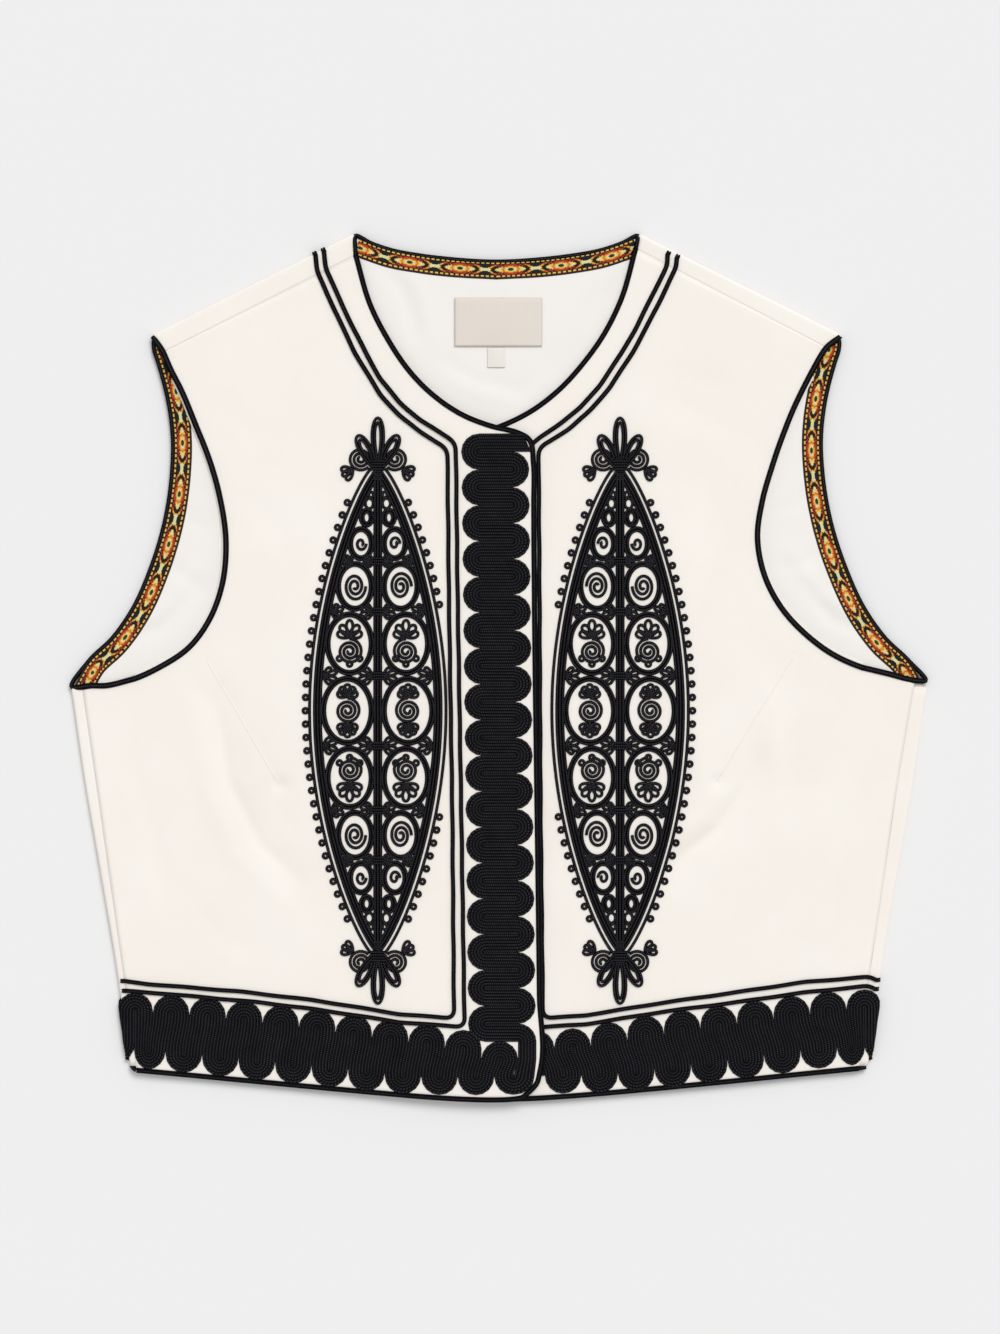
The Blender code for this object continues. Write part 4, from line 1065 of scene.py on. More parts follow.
def shoulder_roll(front, x, y, t):
    """(x, y, z) of the back's roll over a shoulder, with the strip down to the shoulder seam."""
    side, seam = front.side, front.armhole_rows[-1]
    out = shoulder_fold()[2]
    turn = np.linspace(0, math.pi, ROLL_STEPS)
    seam_x = seam.inner_x + (seam.outer_x - seam.inner_x) * t
    seam_y = seam.inner_y + (seam.outer_y - seam.inner_y) * t - STRIP_TUCK
    seam_rise = left_front_z(seam_x, seam_y) - FRONT_TOP
    share = np.array([[0.2, 0.4, 0.6, 0.8, 0.92, 1.0]])
    roll_z = np.broadcast_to(FOLD_MIDDLE - FOLD_ROLL * np.cos(turn), (len(x), len(turn)))
    strip_z = FRONT_TOP + seam_rise[:, None] * share - STRIP_TUCK * (share > 0.95)
    grid = []
    for start, reach, end in ((x, side * out[0], seam_x), (y, out[1], seam_y)):
        roll = start[:, None] + reach * FOLD_ROLL * np.sin(turn)
        grid.append(np.hstack([roll, start[:, None] + (end - start)[:, None] * share]))
    return *grid, np.hstack([roll_z, strip_z])


def back_sheet(name, material, thickness):
    """The back's outside: its underside, and its rolls round the sides and shoulders."""
    spacing, rounding = 4.0, 7.0
    starts, ends, bows, side_count = back_half(spacing)
    x, y, t = plan_grid(starts, ends, bows, 44, BACK_BOW_POWER)
    width = np.hypot(ends[:, 0] - starts[:, 0], ends[:, 1] - starts[:, 1])[:, None]
    edge = 1 - smooth((1 - t) * width / rounding)
    shoulder = 1 - smooth((np.arange(len(x))[::-1, None] * spacing) / rounding)
    lift = np.maximum(under_z(x, y), REST_LIFT + (TRIM_LIFT - REST_LIFT) * np.maximum(edge, shoulder))
    lift = lift + 0.08 * ripple(x, y) * (1 - edge)
    sheet = Sheet()
    for front in (LEFT, RIGHT):
        leaning_x = front.side * x + lean(y)
        sheet.add(leaning_x, y, lift, front.side > 0)
        sheet.add(*side_roll(front, ends[:side_count]), front.side > 0)
        sheet.add(*shoulder_roll(front, leaning_x[-1], y[-1], t[0]), front.side < 0)
    return sheet.finish(name, material, thickness)


def lining_sheet(name, material, thickness):
    starts, ends, bows, _ = back_half(3.0)
    x, y, _ = plan_grid(starts, ends, bows, 70, BACK_BOW_POWER)
    x, y = x * 0.996, y - 0.8 * smooth((y - 150) / 80) + 3.0 * smooth((-200 - y) / 30)
    sheet = Sheet()
    for side in (1, -1):
        leaning_x = side * x + lean(y)
        sheet.add(leaning_x, y, lining_z(leaning_x, y), side < 0)
    return sheet.finish(name, material, thickness)


# Woven tape


STITCHES = {
    "K": (0.006, 0.005, 0.006),
    "G": (0.008, 0.050, 0.022),
    "D": (0.10, 0.008, 0.008),
    "R": (0.60, 0.035, 0.012),
    "O": (0.84, 0.24, 0.02),
    "Y": (0.97, 0.68, 0.11),
    "C": (0.95, 0.88, 0.46),
}
# A quarter of the tape's repeat as a chart: the first row runs along the tape's
# middle from an eye's centre to the crossing, the last row is its edge.
TAPE_CHART = (
    "GGGCCYYOOYCCCCYKKKKYCCCCC",
    "GGCCCYOOYYCCYYKKKKKGYCCCC",
    "YYYYYYOOYYYYKKKKKKOYYCKKK",
    "YYOOOORRYOKRKKKKKOYOKKKKK",
    "OOORRRRRRKKRRKKKOYORKKKKK",
    "RRRRRRRKKRRKKKOORRKKKKKKK",
    "RRRRRRKKRRKKRRRRKKKKKKKKK",
    "KKKKKKKKKKKKKKKKKKKKKKKKK",
    "KYYYKKYYYKKYYYKKYYYKKYYYK",
    "KYYYKKYYYKKYYYKKYYYKKYYYK",
    "DDDDDDDDDDDDDDDDDDDDDDDDD",
    "DKKDDKKKDKKDDKKKDDKKKDDKK",
    "KKKKKKKKKKKKKKKKKKKKKKKKK",
)


def held_within(values, low, high):
    """Values that go on almost no further than low and high."""
    inside = np.clip(values, low, high)
    return inside + (values - inside) * 0.03


def tape_strip(name, edge, inward, inset, material, phase, reach=None):
    """A woven tape along a line, as wide as the chart, with one cell for each stitch."""
    line = even_line(edge, TAPE_CELL)
    cells = 2 * len(TAPE_CHART)
    offsets = inset + TAPE_WIDTH * np.arange(cells + 1) / cells
    rows = np.stack([offset_line(line, inward * o) for o in offsets], axis=1)
    if reach is not None:
        low, high, out = reach
        rows = np.stack(
            [held_within(rows[..., 0], -out, out), held_within(rows[..., 1], low, high)], axis=-1
        )
    z = lining_z(rows[..., 0], rows[..., 1]) + TAPE_LIFT
    z[:, [0, -1]] -= TAPE_EDGE_DROP
    points = np.column_stack([rows[..., 0].ravel(), rows[..., 1].ravel(), z.ravel()])
    along = np.repeat(np.arange(len(line)) * TAPE_CELL, cells + 1)
    across = np.tile(offsets, len(line))
    faces = grid_faces(len(line), cells + 1, flip=inward > 0)
    obj = mesh_object(name, points, faces, material, along, across)
    stations = np.repeat(np.arange(len(line) - 1), cells)
    columns = np.tile(np.arange(cells), len(line) - 1)
    repeat = TAPE_REPEAT / TAPE_CELL
    from_eye = np.abs((stations + phase + repeat / 2) % repeat - repeat / 2)
    last = len(TAPE_CHART[0]) - 1
    chart_x = np.minimum((from_eye / (repeat / 2) * (last + 1)).astype(int), last)
    chart_y = np.minimum(np.abs(columns - (cells - 1) / 2).astype(int), len(TAPE_CHART) - 1)
    colours = np.array([[STITCHES[k] for k in row] for row in TAPE_CHART])
    per_face = colours[chart_y, chart_x]
    per_corner = np.repeat(np.column_stack([per_face, np.ones(len(per_face))]), 4, axis=0)
    field = obj.data.color_attributes.new("stitch", "FLOAT_COLOR", "CORNER")
    field.data.foreach_set("color", per_corner.astype(np.float32).ravel())
    return make_shell(obj, TAPE_THICKNESS)


# Cord paths


def over_fold(x, y, direction, lift, flat, steps=9):
    """Points, outward normals and heights over a fold, flatter towards the underside."""
    turn = np.linspace(0, math.pi, steps)
    normals = np.column_stack(
        [direction[0] * np.sin(turn), direction[1] * np.sin(turn), np.cos(turn)]
    )
    height = 1 + (flat - 1) * smooth(turn / math.pi)
    radius = FOLD_ROLL + lift * height
    return np.array([x, y, FOLD_MIDDLE]) + normals * radius[:, None], normals, height


def underside(plan, height):
    """Points, normals and heights of a double cord that lies under the back."""
    points = np.column_stack([plan, under_z(plan[:, 0], plan[:, 1]) - CORD_LIFT * height])
    return points, np.tile((0.0, 0.0, -1.0), (len(plan), 1)), height


def join_parts(parts):
    """One strand from (points, normals, height) parts, without doubled points."""
    points = np.vstack([p for p, _, _ in parts])
    normals = np.vstack([n for _, n, _ in parts])
    heights = np.concatenate([np.broadcast_to(h, len(p)) for p, _, h in parts])
    keep = np.concatenate([[True], np.linalg.norm(np.diff(points, axis=0), axis=1) > 0.15])
    points, normals, heights = points[keep], normals[keep], heights[keep]
    heights = np.convolve(np.pad(heights, 3, mode="edge"), np.ones(7) / 7, mode="valid")
    spread = SHOULDER_CORD_SPREAD * smooth((points[:, 1] - SPREAD_FROM_Y) / SPREAD_LENGTH)
    return strand(points, normals, heights, 1 + spread)


def back_neck_line(side, inset):
    """The line at this distance inside the back neck's edge, from the middle to the fold."""
    line = offset_line(smooth_line(back_edges()[0][NECK_ROW:], 3.0), -inset)
    line[0, 0] = 0.0
    return on_side(side, line)


def back_hem_line(side, rise, start_x):
    """The line at this distance above the back's hem braid, from near the fold to the middle."""
    x = np.linspace(start_x, 0.0, 70)
    return np.column_stack([side * x, back_hem_y(x) + BACK_BRAID_RISE + hem_height(x) + rise])


def hem_height(x):
    """How tall the back's hem braid stands, this far from the middle."""
    return np.interp(x, [0.0, 205.0], [37.0, 37.8])


def double_cord(route, front, neck_inset, hem_rise):
    """One cord: over the shoulder from the back neck, down the front, round to the back."""
    side, height = front.side, UNDER_CORD_SHARE
    parts = []
    plan = laid_line(route, 0.8)[::2]
    plan[-1] = route[-1]
    sway = 0.11 * np.sin(places(plan) / 5.3 + route[0][0])
    plan = offset_line(plan, 1.0) * sway[:, None] + plan * (1 - sway[:, None])
    if neck_inset is not None:
        neck = back_neck_line(side, neck_inset)
        start = np.array(route[0])
        near = neck[np.abs(neck[:, 0]) < abs(start[0]) - 6.0]
        line = smooth_line(np.vstack([near[::6], start[None, :]]), UNDER_CORD_STEP)
        parts.append(underside(line, height))
        out = shoulder_fold()[2]
        fold = over_fold(*start, (side * out[0], out[1]), CORD_LIFT, height)
        parts.append([values[::-1] for values in fold])
    points = on_front(plan, front, CORD_LIFT)
    parts.append((points, np.tile((0.0, 0.0, 1.0), (len(points), 1)), 1.0))
    if hem_rise is not None:
        end = np.array(route[-1])
        parts.append(over_fold(*end, (side, 0.0), CORD_LIFT, height))
        line = back_hem_line(side, hem_rise, abs(end[0]) - 6.0)
        line = np.vstack([end[None, :], line[:-2:4], line[-1:]])
        parts.append(underside(smooth_line(line, UNDER_CORD_STEP), height))
    return join_parts(parts)


class HemPath:
    """The hem band of one front and half the back, as one strip measured from the middle."""

    def __init__(self, front, table):
        self.front = front
        self.knots, self.tops, self.bottoms = np.array(table).T
        self.fold = BACK_SIDE_ROWS[0].outer_x + 1.4 - FOLD_ROLL
        self.half_turn = math.pi * (FOLD_ROLL + 0.5)
        self.length = 2 * self.fold + self.half_turn

    def edges(self, s):
        """(top, bottom) in plan at this distance round the strip."""
        top, bottom = np.interp(s, self.knots, self.tops), np.interp(s, self.knots, self.bottoms)
        x = np.maximum(self.length - s, 0.0)
        back_bottom = back_hem_y(x) + BACK_BRAID_RISE
        back_top = back_bottom + hem_height(x)
        share = smooth((s - self.fold) / self.half_turn)
        return top + (back_top - top) * share, bottom + (back_bottom - bottom) * share

    def place(self, s, y, lift):
        """Points on the body for places of the strip."""
        side = self.front.side
        slant = (y - HEM_SLANT_FROM_Y) * HEM_SLANT
        fold = self.fold + slant
        turn = np.clip((s - fold) / self.half_turn, 0, 1) * math.pi
        past = s - fold - self.half_turn
        back = fold - past - 2 * slant * smooth(past / (self.fold - 10.0))
        x = np.where(s < fold, s, np.where(turn < math.pi, fold, back))
        base = np.where(s < fold, self.front.z_of(side * x, y) - FOLD_MIDDLE, FOLD_ROLL)
        radius = np.where(turn >= math.pi, FOLD_MIDDLE - under_z(x, y), base) + lift
        out, up = np.sin(turn) * radius, np.cos(turn) * radius
        return np.stack([side * (x + out), y, FOLD_MIDDLE + up], axis=-1)

    def height(self, s):
        """How high the braid's cords stand there: lower under the back."""
        return 1.0 - 0.32 * smooth((s - self.fold) / self.half_turn)


def serpentine(legs, first_up, top_of, bottom_of, start=None):
    """Stations (x, y, left normal x, left normal y) of a path that runs up and down legs."""
    stations = []
    up = first_up
    for a, b in zip(legs, legs[1:]):
        middle, radius = (a + b) / 2, (b - a) / 2
        tilt = 1.0 if up else -1.0
        centre = (top_of if up else bottom_of)(middle) - tilt * LOBE_RADIUS
        if stations:
            _, previous, *normal = stations[-1]
            shares = (0.2, 0.4, 0.6, 0.8)
        else:
            previous = (bottom_of if up else top_of)(a) + tilt * LOBE_RADIUS if start is None else start
            normal = (-tilt, 0.0)
            shares = (0.0, 0.25, 0.5, 0.75)
        stations += [(a, previous + (centre - previous) * t, *normal) for t in shares]
        for turn in np.linspace(0, math.pi, LOBE_STEPS):
            dx, dy = -math.cos(turn), tilt * math.sin(turn)
            stations.append((middle + radius * dx, centre + radius * dy, tilt * dx, tilt * dy))
        up = not up
    return np.array(stations)


def ribbon(node, stations, shear, place, height, flip=False):
    """Sweeps the six cords along stations of a strip, mapped onto the body, as one piece."""
    section = ribbon_section()
    count, rows = len(section), len(stations)
    s = stations[:, None, 0] + section[None, :, 0] * stations[:, None, 2]
    y = stations[:, None, 1] + section[None, :, 0] * stations[:, None, 3]
    s = s + shear(s, y)
    points = place(s, y, section[None, :, 1] * height(s)).reshape(-1, 3)
    faces = tube_faces(rows, count)
    if flip:
        faces = [face[::-1] for face in faces]
    whole = section[:, 0] / BRAID_PITCH + BRAID_CORDS / 2
    across = (whole % 1.0 - 0.5) * BRAID_PITCH
    along = np.repeat(places(stations[:, :2]), count) + np.tile(np.floor(whole) * 0.43, rows)
    obj = mesh_object(f"{node}_cords", points, faces, black_cord(), along, np.tile(across, rows))
    add_piece(turn_outwards(obj), "black_cord", node)


def signed_volume(obj):
    mesh = obj.data
    mesh.calc_loop_triangles()
    points = np.empty(len(mesh.vertices) * 3)
    mesh.vertices.foreach_get("co", points)
    points = points.reshape(-1, 3)
    corners = np.empty(len(mesh.loop_triangles) * 3, int)
    mesh.loop_triangles.foreach_get("vertices", corners)
    a, b, c = (points[corners.reshape(-1, 3)[:, k]] for k in range(3))
    return float(np.einsum("ij,ij->i", a, np.cross(b, c)).sum() / 6)


def turn_outwards(obj):
    if signed_volume(obj) < 0:
        obj.data.flip_normals()
    return obj


def sew(node, kind, strands, section):
    """Sweeps black cord along strands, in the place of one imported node."""
    obj = sweep(f"{node}_{kind}", strands, section, black_cord())
    add_piece(turn_outwards(obj), "black_cord", node)


# Medallion


def almond(s):
    t = np.minimum(np.abs(s) / ALMOND_HALF_LENGTH, 1.0)
    return ALMOND_HALF_WIDTH * np.cos(math.pi / 2 * t) ** ALMOND_POWER


def scroll_levels():
    """(distance along, half width, half length) of each level of ring scrolls."""
    def half_size(s):
        return float((almond(s) - FRAME_BAND - STEM_BAND / 2) / 2)

    upper = [(0.0, half_size(0.0))]
    for _ in range(SCROLL_LEVELS):
        s, size = upper[-1]
        following = s + 2 * size * SCROLL_STRETCH
        for _ in range(8):
            reach = size + half_size(following)
            following = s + reach * SCROLL_STRETCH + SCROLL_SPACE
        upper.append((following, half_size(following)))
    lower = [(-s, size) for s, size in upper[:0:-1]]
    return [(s, size, size * SCROLL_STRETCH) for s, size in lower + upper]


def oval(middle, half_width, half_length, steps=40):
    turn = 2 * math.pi * np.arange(steps) / steps
    return np.column_stack(
        [middle[0] + half_width * np.cos(turn), middle[1] + half_length * np.sin(turn)]
    )


def coil(middle, start_radius, end_radius, turns, start, hand, stretch=1.0):
    """A spiral that winds in from a circle towards its middle."""
    count = max(12, int(turns * 22))
    t = np.linspace(0, 1, count)
    radius = start_radius + (end_radius - start_radius) * t
    turn = start + hand * 2 * math.pi * turns * t
    return np.column_stack(
        [middle[0] + radius * np.cos(turn), middle[1] + stretch * radius * np.sin(turn)]
    )


def teardrop(root, direction, length, width, steps=16):
    """A closed loop with its point at root."""
    turn = 2 * math.pi * np.arange(steps) / steps
    along = length * (1 - np.cos(turn)) / 2
    across = width / 2 * np.sin(turn) * np.sin(turn / 2) * 1.3
    dx, dy = math.cos(direction), math.sin(direction)
    return np.column_stack([root[0] + along * dx - across * dy, root[1] + along * dy + across * dx])


Cord = namedtuple("Cord", "line closed lift", defaults=(True, 0.0))


def scroll_filling(middle, clear, clear_length, hand, towards):
    """What fills a ring scroll: a coil, with petals where there is room."""
    x, y = middle
    if clear < 3.0:
        return [Cord(oval(middle, max(clear - 0.4, 0.9), max(clear - 0.1, 1.1), 14))]
    if clear < 7.0:
        radius = clear * 0.92
        turns = radius / 2.5
        return [Cord(coil(middle, radius, COIL_HEART, turns, 0.0, hand, SCROLL_STRETCH), False)]
    radius = clear * (0.74 if towards else 0.66)
    low = -0.32 * towards * clear_length
    lines = [Cord(coil((x, y + low), radius, COIL_HEART, radius / 2.45, math.pi / 2, hand), False)]
    ends = (-1, 1) if towards == 0 else (towards,)
    for end in ends:
        root = (x, y + low + end * (radius + 0.9))
        reach = clear_length - end * low - radius - 1.4
        for fan in PALMETTE_FAN:
            long = reach * (1.0 - 0.2 * abs(fan)) if reach > 7 else reach * (1.0 - 0.1 * abs(fan))
            long = min(long, clear * 0.92) if abs(fan) > 1.0 else long
            lines.append(Cord(teardrop(root, end * math.pi / 2 + fan, long, 3.6, 20), lift=PETAL_LIFT))
    if towards:
        for turn in BERRY_FAN:
            place = (x + 8.2 * math.sin(turn), y - towards * (clear_length - 2.2) * math.cos(turn))
            lines.append(Cord(oval(place, 1.35, 1.35, 12)))
    return lines


def outer_rings():
    """Small rings in a row outside the frame, where the double cords leave room."""
    lines = []
    s = ALMOND_HALF_LENGTH * np.sin(math.pi * (np.linspace(0, 1, 400) - 0.5))
    for hand in (-1, 1):
        edge = np.column_stack([hand * almond(s), s])
        row = even_line(offset_line(edge, -hand * BEAD_OUT), BEAD_SPACING)
        for x, y in row[2:-2]:
            if abs(y) < 118 and (hand < 0 or abs(y) > 56):
                lines.append(Cord(oval((x, y), BEAD_RADIUS, BEAD_RADIUS, 12)))
    return lines


def end_rings(last_level):
    """Ever smaller rings between the last scrolls and the medallion's tips."""
    lines = []
    s, _, length = last_level
    start = s + length + 0.5
    while True:
        radius = 3.0
        for _ in range(12):
            room = float(almond(start + SCROLL_STRETCH * 1.6 * radius)) - FRAME_BAND - STEM_BAND / 2
            radius = max(room / 2 - 0.3, 0.0)
        if radius < 1.2:
            return lines
        length = radius * SCROLL_STRETCH
        for end in (-1, 1):
            for hand in (-1, 1):
                middle = (hand * (STEM_BAND / 2 + radius + 0.3), end * (start + length))
                lines.append(Cord(oval(middle, radius, length, 20)))
                if radius > 2.4:
                    lines.append(Cord(oval(middle, radius - 1.7, length - 1.7, 12)))
        start += 2 * length + 0.3


def medallion_lines():
    """Every cord of a medallion, in plan round its own middle."""
    lines = []
    s = ALMOND_HALF_LENGTH * np.sin(math.pi * (np.linspace(0, 1, 110) - 0.5))
    for hand in (-1, 1):
        edge = np.column_stack([hand * almond(s), s])
        for k in range(3):
            inset = FRAME_INSET + k * CORD_PITCH
            lines.append(Cord(offset_line(edge, hand * inset), False))
        outside = offset_line(edge, -hand * OUTSIDE_CORD)
        lines.append(Cord(outside[6:-6], False))
    for x in (-CORD_PITCH, 0.0, CORD_PITCH):
        y = np.linspace(-ALMOND_HALF_LENGTH + 2, ALMOND_HALF_LENGTH - 2, 120)
        lines.append(Cord(np.column_stack([np.full(120, x), y]), False, 0.05))
    levels = scroll_levels()
    for s, size, length in levels:
        for hand in (-1, 1):
            middle = (hand * (STEM_BAND / 2 + size), s)
            for k in range(2):
                inset = 0.3 + k * CORD_PITCH
                lines.append(Cord(oval(middle, size - inset, length - inset)))
            clear = size - 0.6 - 2 * CORD_PITCH
            lines += scroll_filling(middle, clear, clear + length - size, hand, np.sign(s))
    lines += end_rings(levels[-1])
    for (s0, size0, length0), (s1, size1, length1) in zip(levels, levels[1:]):
        meet = (s0 + length0 + s1 - length1) / 2
        size = (size0 + size1) / 2
        for hand in (-1, 1):
            rim = float(almond(meet)) - FRAME_BAND - 0.6
            for place, direction in (
                (rim, math.pi if hand > 0 else 0.0),
                (STEM_BAND / 2 + 0.9, 0.0 if hand > 0 else math.pi),
            ):
                root = (hand * place, meet)
                for fan in SPANDREL_FAN:
                    long = max(size * (0.56 if abs(fan) < 0.5 else 0.42), 2.6)
                    lines.append(Cord(teardrop(root, direction + fan, long, 2.4), lift=PETAL_LIFT))
        for k in (-1, 0, 1):
            bar = np.array([(-3.2, meet + 1.5 * k), (3.2, meet + 1.5 * k)])
            lines.append(Cord(even_line(bar, 0.8), False, 0.5))
    lines += outer_rings()
    for end in (-1, 1):
        tip = end * ALMOND_HALF_LENGTH
        for hand in (-1, 1):
            middle = (hand * FINIAL_OUT, end * FINIAL_UP)
            start = math.atan2(-end, -hand)
            lines.append(Cord(coil(middle, FINIAL_RADIUS, COIL_HEART, 2.6, start, hand * end), False))
            for k in range(3):
                root = (hand * (FINIAL_OUT + 4.0), end * (FINIAL_UP - 6.0))
                turn = end * math.pi / 2 - hand * end * (2.6 - 0.55 * k)
                lines.append(Cord(teardrop(root, turn, 6.5, 2.9), lift=PETAL_LIFT))
        for fan, long in FINIAL_PETALS:
            root = (0.0, end * PETAL_ROOT)
            turn = end * (math.pi / 2) + fan
            lines.append(Cord(teardrop(root, turn, long, 6.4, 30), lift=FINIAL_PETAL_LIFT))
            inner = (root[0] + 5 * math.cos(turn), root[1] + 5 * math.sin(turn))
            lines.append(Cord(teardrop(inner, turn, long - 7.5, 3.4, 24), lift=FINIAL_PETAL_LIFT))
        for k in (-1.5, -0.5, 0.5, 1.5):
            y = tip + end * (1.0 + 1.5 * k)
            lines.append(Cord(even_line(np.array([(-3.6, y), (3.6, y)]), 0.8), False, 0.8))
    return lines


# Settings that a user would change


class VestSizes(bpy.types.PropertyGroup):
    cloth: FloatProperty(
        name="Cloth", description="Thickness of the cream cloth", default=0.0009,
        min=0.0003, max=0.002, unit="LENGTH",
    )
    lining: FloatProperty(
        name="Lining", description="Thickness of the lining", default=0.0006,
        min=0.0002, max=0.001, unit="LENGTH",
    )
    cord_width: FloatProperty(
        name="Cord width", description="Width of each of the double cords", default=0.0024,
        min=0.001, max=0.004, unit="LENGTH",
    )
    binding_width: FloatProperty(
        name="Binding width", description="Width of the bound edges", default=0.003,
        min=0.0015, max=0.005, unit="LENGTH",
    )
    scroll_cord: FloatProperty(
        name="Scroll cord", description="Width of the cord in the medallions", default=0.0017,
        min=0.0008, max=0.003, unit="LENGTH",
    )
    key_light: FloatProperty(
        name="Key light", description="Strength of the large soft light", default=1.6,
        min=0.0, max=20.0, subtype="FACTOR",
    )
    sky_light: FloatProperty(
        name="Surrounding light", description="Strength of the even white surroundings",
        default=0.61, min=0.0, max=3.0, subtype="FACTOR",
    )


class VestColours(bpy.types.PropertyGroup):
    cloth: FloatVectorProperty(
        name="Cloth", description="Cream of the outer cloth", subtype="COLOR",
        default=(0.94, 0.90, 0.838), min=0.0, max=1.0,
    )
    lining: FloatVectorProperty(
        name="Lining", description="Off-white of the lining", subtype="COLOR",
        default=(0.91, 0.89, 0.855), min=0.0, max=1.0,
    )
    cord: FloatVectorProperty(
        name="Cord", description="Black of the cords and bindings", subtype="COLOR",
        default=(0.0024, 0.0022, 0.0033), min=0.0, max=1.0,
    )
    # Painted highlight: the lighter tone mixed onto the cords' crowns
    glint: FloatVectorProperty(
        name="Cord crown", description="Lighter tone on the cords' crowns", subtype="COLOR",
        default=(0.066, 0.064, 0.076), min=0.0, max=1.0,
    )
    label: FloatVectorProperty(
        name="Label", description="Beige of the label", subtype="COLOR",
        default=(0.80, 0.725, 0.655), min=0.0, max=1.0,
    )
    tab: FloatVectorProperty(
        name="Size tab", description="Pale cloth of the size tab", subtype="COLOR",
        default=(0.88, 0.84, 0.78), min=0.0, max=1.0,
    )
    floor: FloatVectorProperty(
        name="Floor", description="Pale surface under the vest", subtype="COLOR",
        default=(0.86, 0.86, 0.86), min=0.0, max=1.0,
    )


def sizes():
    return bpy.context.scene.vest_sizes


def colour(name):
    return tuple(getattr(bpy.context.scene.vest_colours, name))


def cached(name, make):
    """The material of this name, made once."""
    return bpy.data.materials.get(name) or make(name)


def cream():
    return cached(
        "cream_twill_cloth", lambda name: cloth_material(name, colour("cloth"), 0.62, 0.05, 0.12)
    )


def black_cord():
    return cached(
        "black_soutache", lambda name: cord_material(name, colour("cord"), 1.15, colour("glint"))
    )


class MakeFronts(bpy.types.Operator):
    """Both fronts, with their darts and creases"""

    bl_idname = "vest.make_fronts"
    bl_label = "Fronts"

    def execute(self, context):
        for front, flat, dart in (
            (RIGHT, (0.253, 0.466), DARTS[0]), (LEFT, (0.253, 0.470), DARTS[1])
        ):
            obj = front_sheet(f"{front.word}_front_cloth", front, cream(), sizes().cloth)
            add_piece(obj, "cream_twill", f"{front.word}_front_panel")
            # The dart's stitched edge, and the facing's edge inside the armhole
            edge = smooth_line(outer_ends(front.armhole_rows[1:-3]), 2.0)
            facing = offset_line(edge, -front.side * FACING_OUT)
            for kind, line, lift, section in (
                ("dart", laid_line(dart, 1.2), DART_LIFT, round_section(0.4, 0.26, 6)),
                ("facing", facing, FACING_LIFT, round_section(0.8, 0.22, 8)),
            ):
                strands = [strand(on_front(line, front, lift))]
                obj = sweep(f"{front.word}_front_{kind}", strands, section, cream())
                add_piece(turn_outwards(obj), "cream_twill")
        return {"FINISHED"}


class MakeBack(bpy.types.Operator):
    """The back, rolled round the sides and over the shoulders"""

    bl_idname = "vest.make_back"
    bl_label = "Back"

    def execute(self, context):
        obj = back_sheet("back_cloth", cream(), sizes().cloth)
        add_piece(obj, "cream_twill", "back_panel")
        return {"FINISHED"}


class MakeLining(bpy.types.Operator):
    """The lining and the woven tapes inside the neck and armholes"""

    bl_idname = "vest.make_lining"
    bl_label = "Lining and tapes"

    def execute(self, context):
        material = cached(
            "lining_satin", lambda name: cloth_material(name, colour("lining"), 0.5, 0.03, 0.05)
        )
        obj = lining_sheet("back_lining_cloth", material, sizes().lining)
        add_piece(obj, "lining_cloth", "back_lining")
        woven = cached("jacquard_tape", tape_material)
        inner, outer, _ = back_edges()
        neck = smooth_line(inner[NECK_ROW:], 1.0)
        neck = neck[neck[:, 0] < NECK_TAPE_END]
        whole = np.vstack([on_side(-1, neck)[:0:-1], on_side(1, neck)])
        phase = -(places(whole)[-1] / 2 + NECK_TAPE_SHIFT) / TAPE_CELL
        obj = tape_strip("neck_tape_woven", whole, -1.0, NECK_TAPE_EDGE, woven, phase)
        add_piece(obj, "woven_tape", "neck_tape")
        arm = np.vstack([ARMHOLE_TAPE_START, outer[len(BACK_SIDE_ROWS):-1]])
        for front, phase in ((LEFT, LEFT_TAPE_PHASE), (RIGHT, RIGHT_TAPE_PHASE)):
            name = f"{front.word}_armhole_tape"
            line = on_side(front.side, smooth_line(arm, 1.0))
            reach = (front.seam_rows[-1].outer_y + 1.6, SHOULDER_TIP[1] - 0.8, ARMHOLE_TAPE_REACH)
            obj = tape_strip(name + "_woven", line, front.side, ARMHOLE_TAPE_EDGE, woven, phase, reach)
            add_piece(obj, "woven_tape", name)
        return {"FINISHED"}


class MakeBindings(bpy.types.Operator):
    """The black bindings of neck, front edges, hem and armholes"""

    bl_idname = "vest.make_bindings"
    bl_label = "Bindings"

    def execute(self, context):
        half = sizes().binding_width / MM / 2
        twin = twin_section(half, TWIN_BINDING_HEIGHT)
        rolled = round_section(half * ROLLED_BINDING_SHARE, ROLLED_BINDING_HEIGHT, 12)
        for front in (RIGHT, LEFT):
            row = front.seam_rows[0]
            t = np.linspace(0, 1, 110)
            hem = np.column_stack([
                row.inner_x + (row.outer_x - row.inner_x) * t,
                row.inner_y + (row.outer_y - row.inner_y) * t - sag(row.bow, t, FRONT_BOW_POWER),
            ])
            plan = even_line(np.vstack([front_grid(front, 2.0)[0][:0:-1], hem]), BINDING_STEP)
            line = strand(on_front(plan, front, BINDING_LIFT))
            sew(f"{front.word}_front_binding", "rolled", [line], twin)
        for front in (RIGHT, LEFT):
            loop = armhole_loop(front)
            upper = smooth((loop[:, 2] - FOLD_MIDDLE) / 1.5)
            line = strand(loop, widths=1 + FRONT_ARMHOLE_SPREAD * upper, closed=True)
            sew(f"{front.word}_armhole_binding", "rolled", [line], rolled)
        for name, half_of in (("back_neck", back_neck_half), ("back_hem", back_hem_half)):
            line = strand(smooth_line(half_of(RIGHT) + half_of(LEFT)[-2::-1], BINDING_STEP))
            sew(f"{name}_binding", "rolled", [line], rolled)
        return {"FINISHED"}


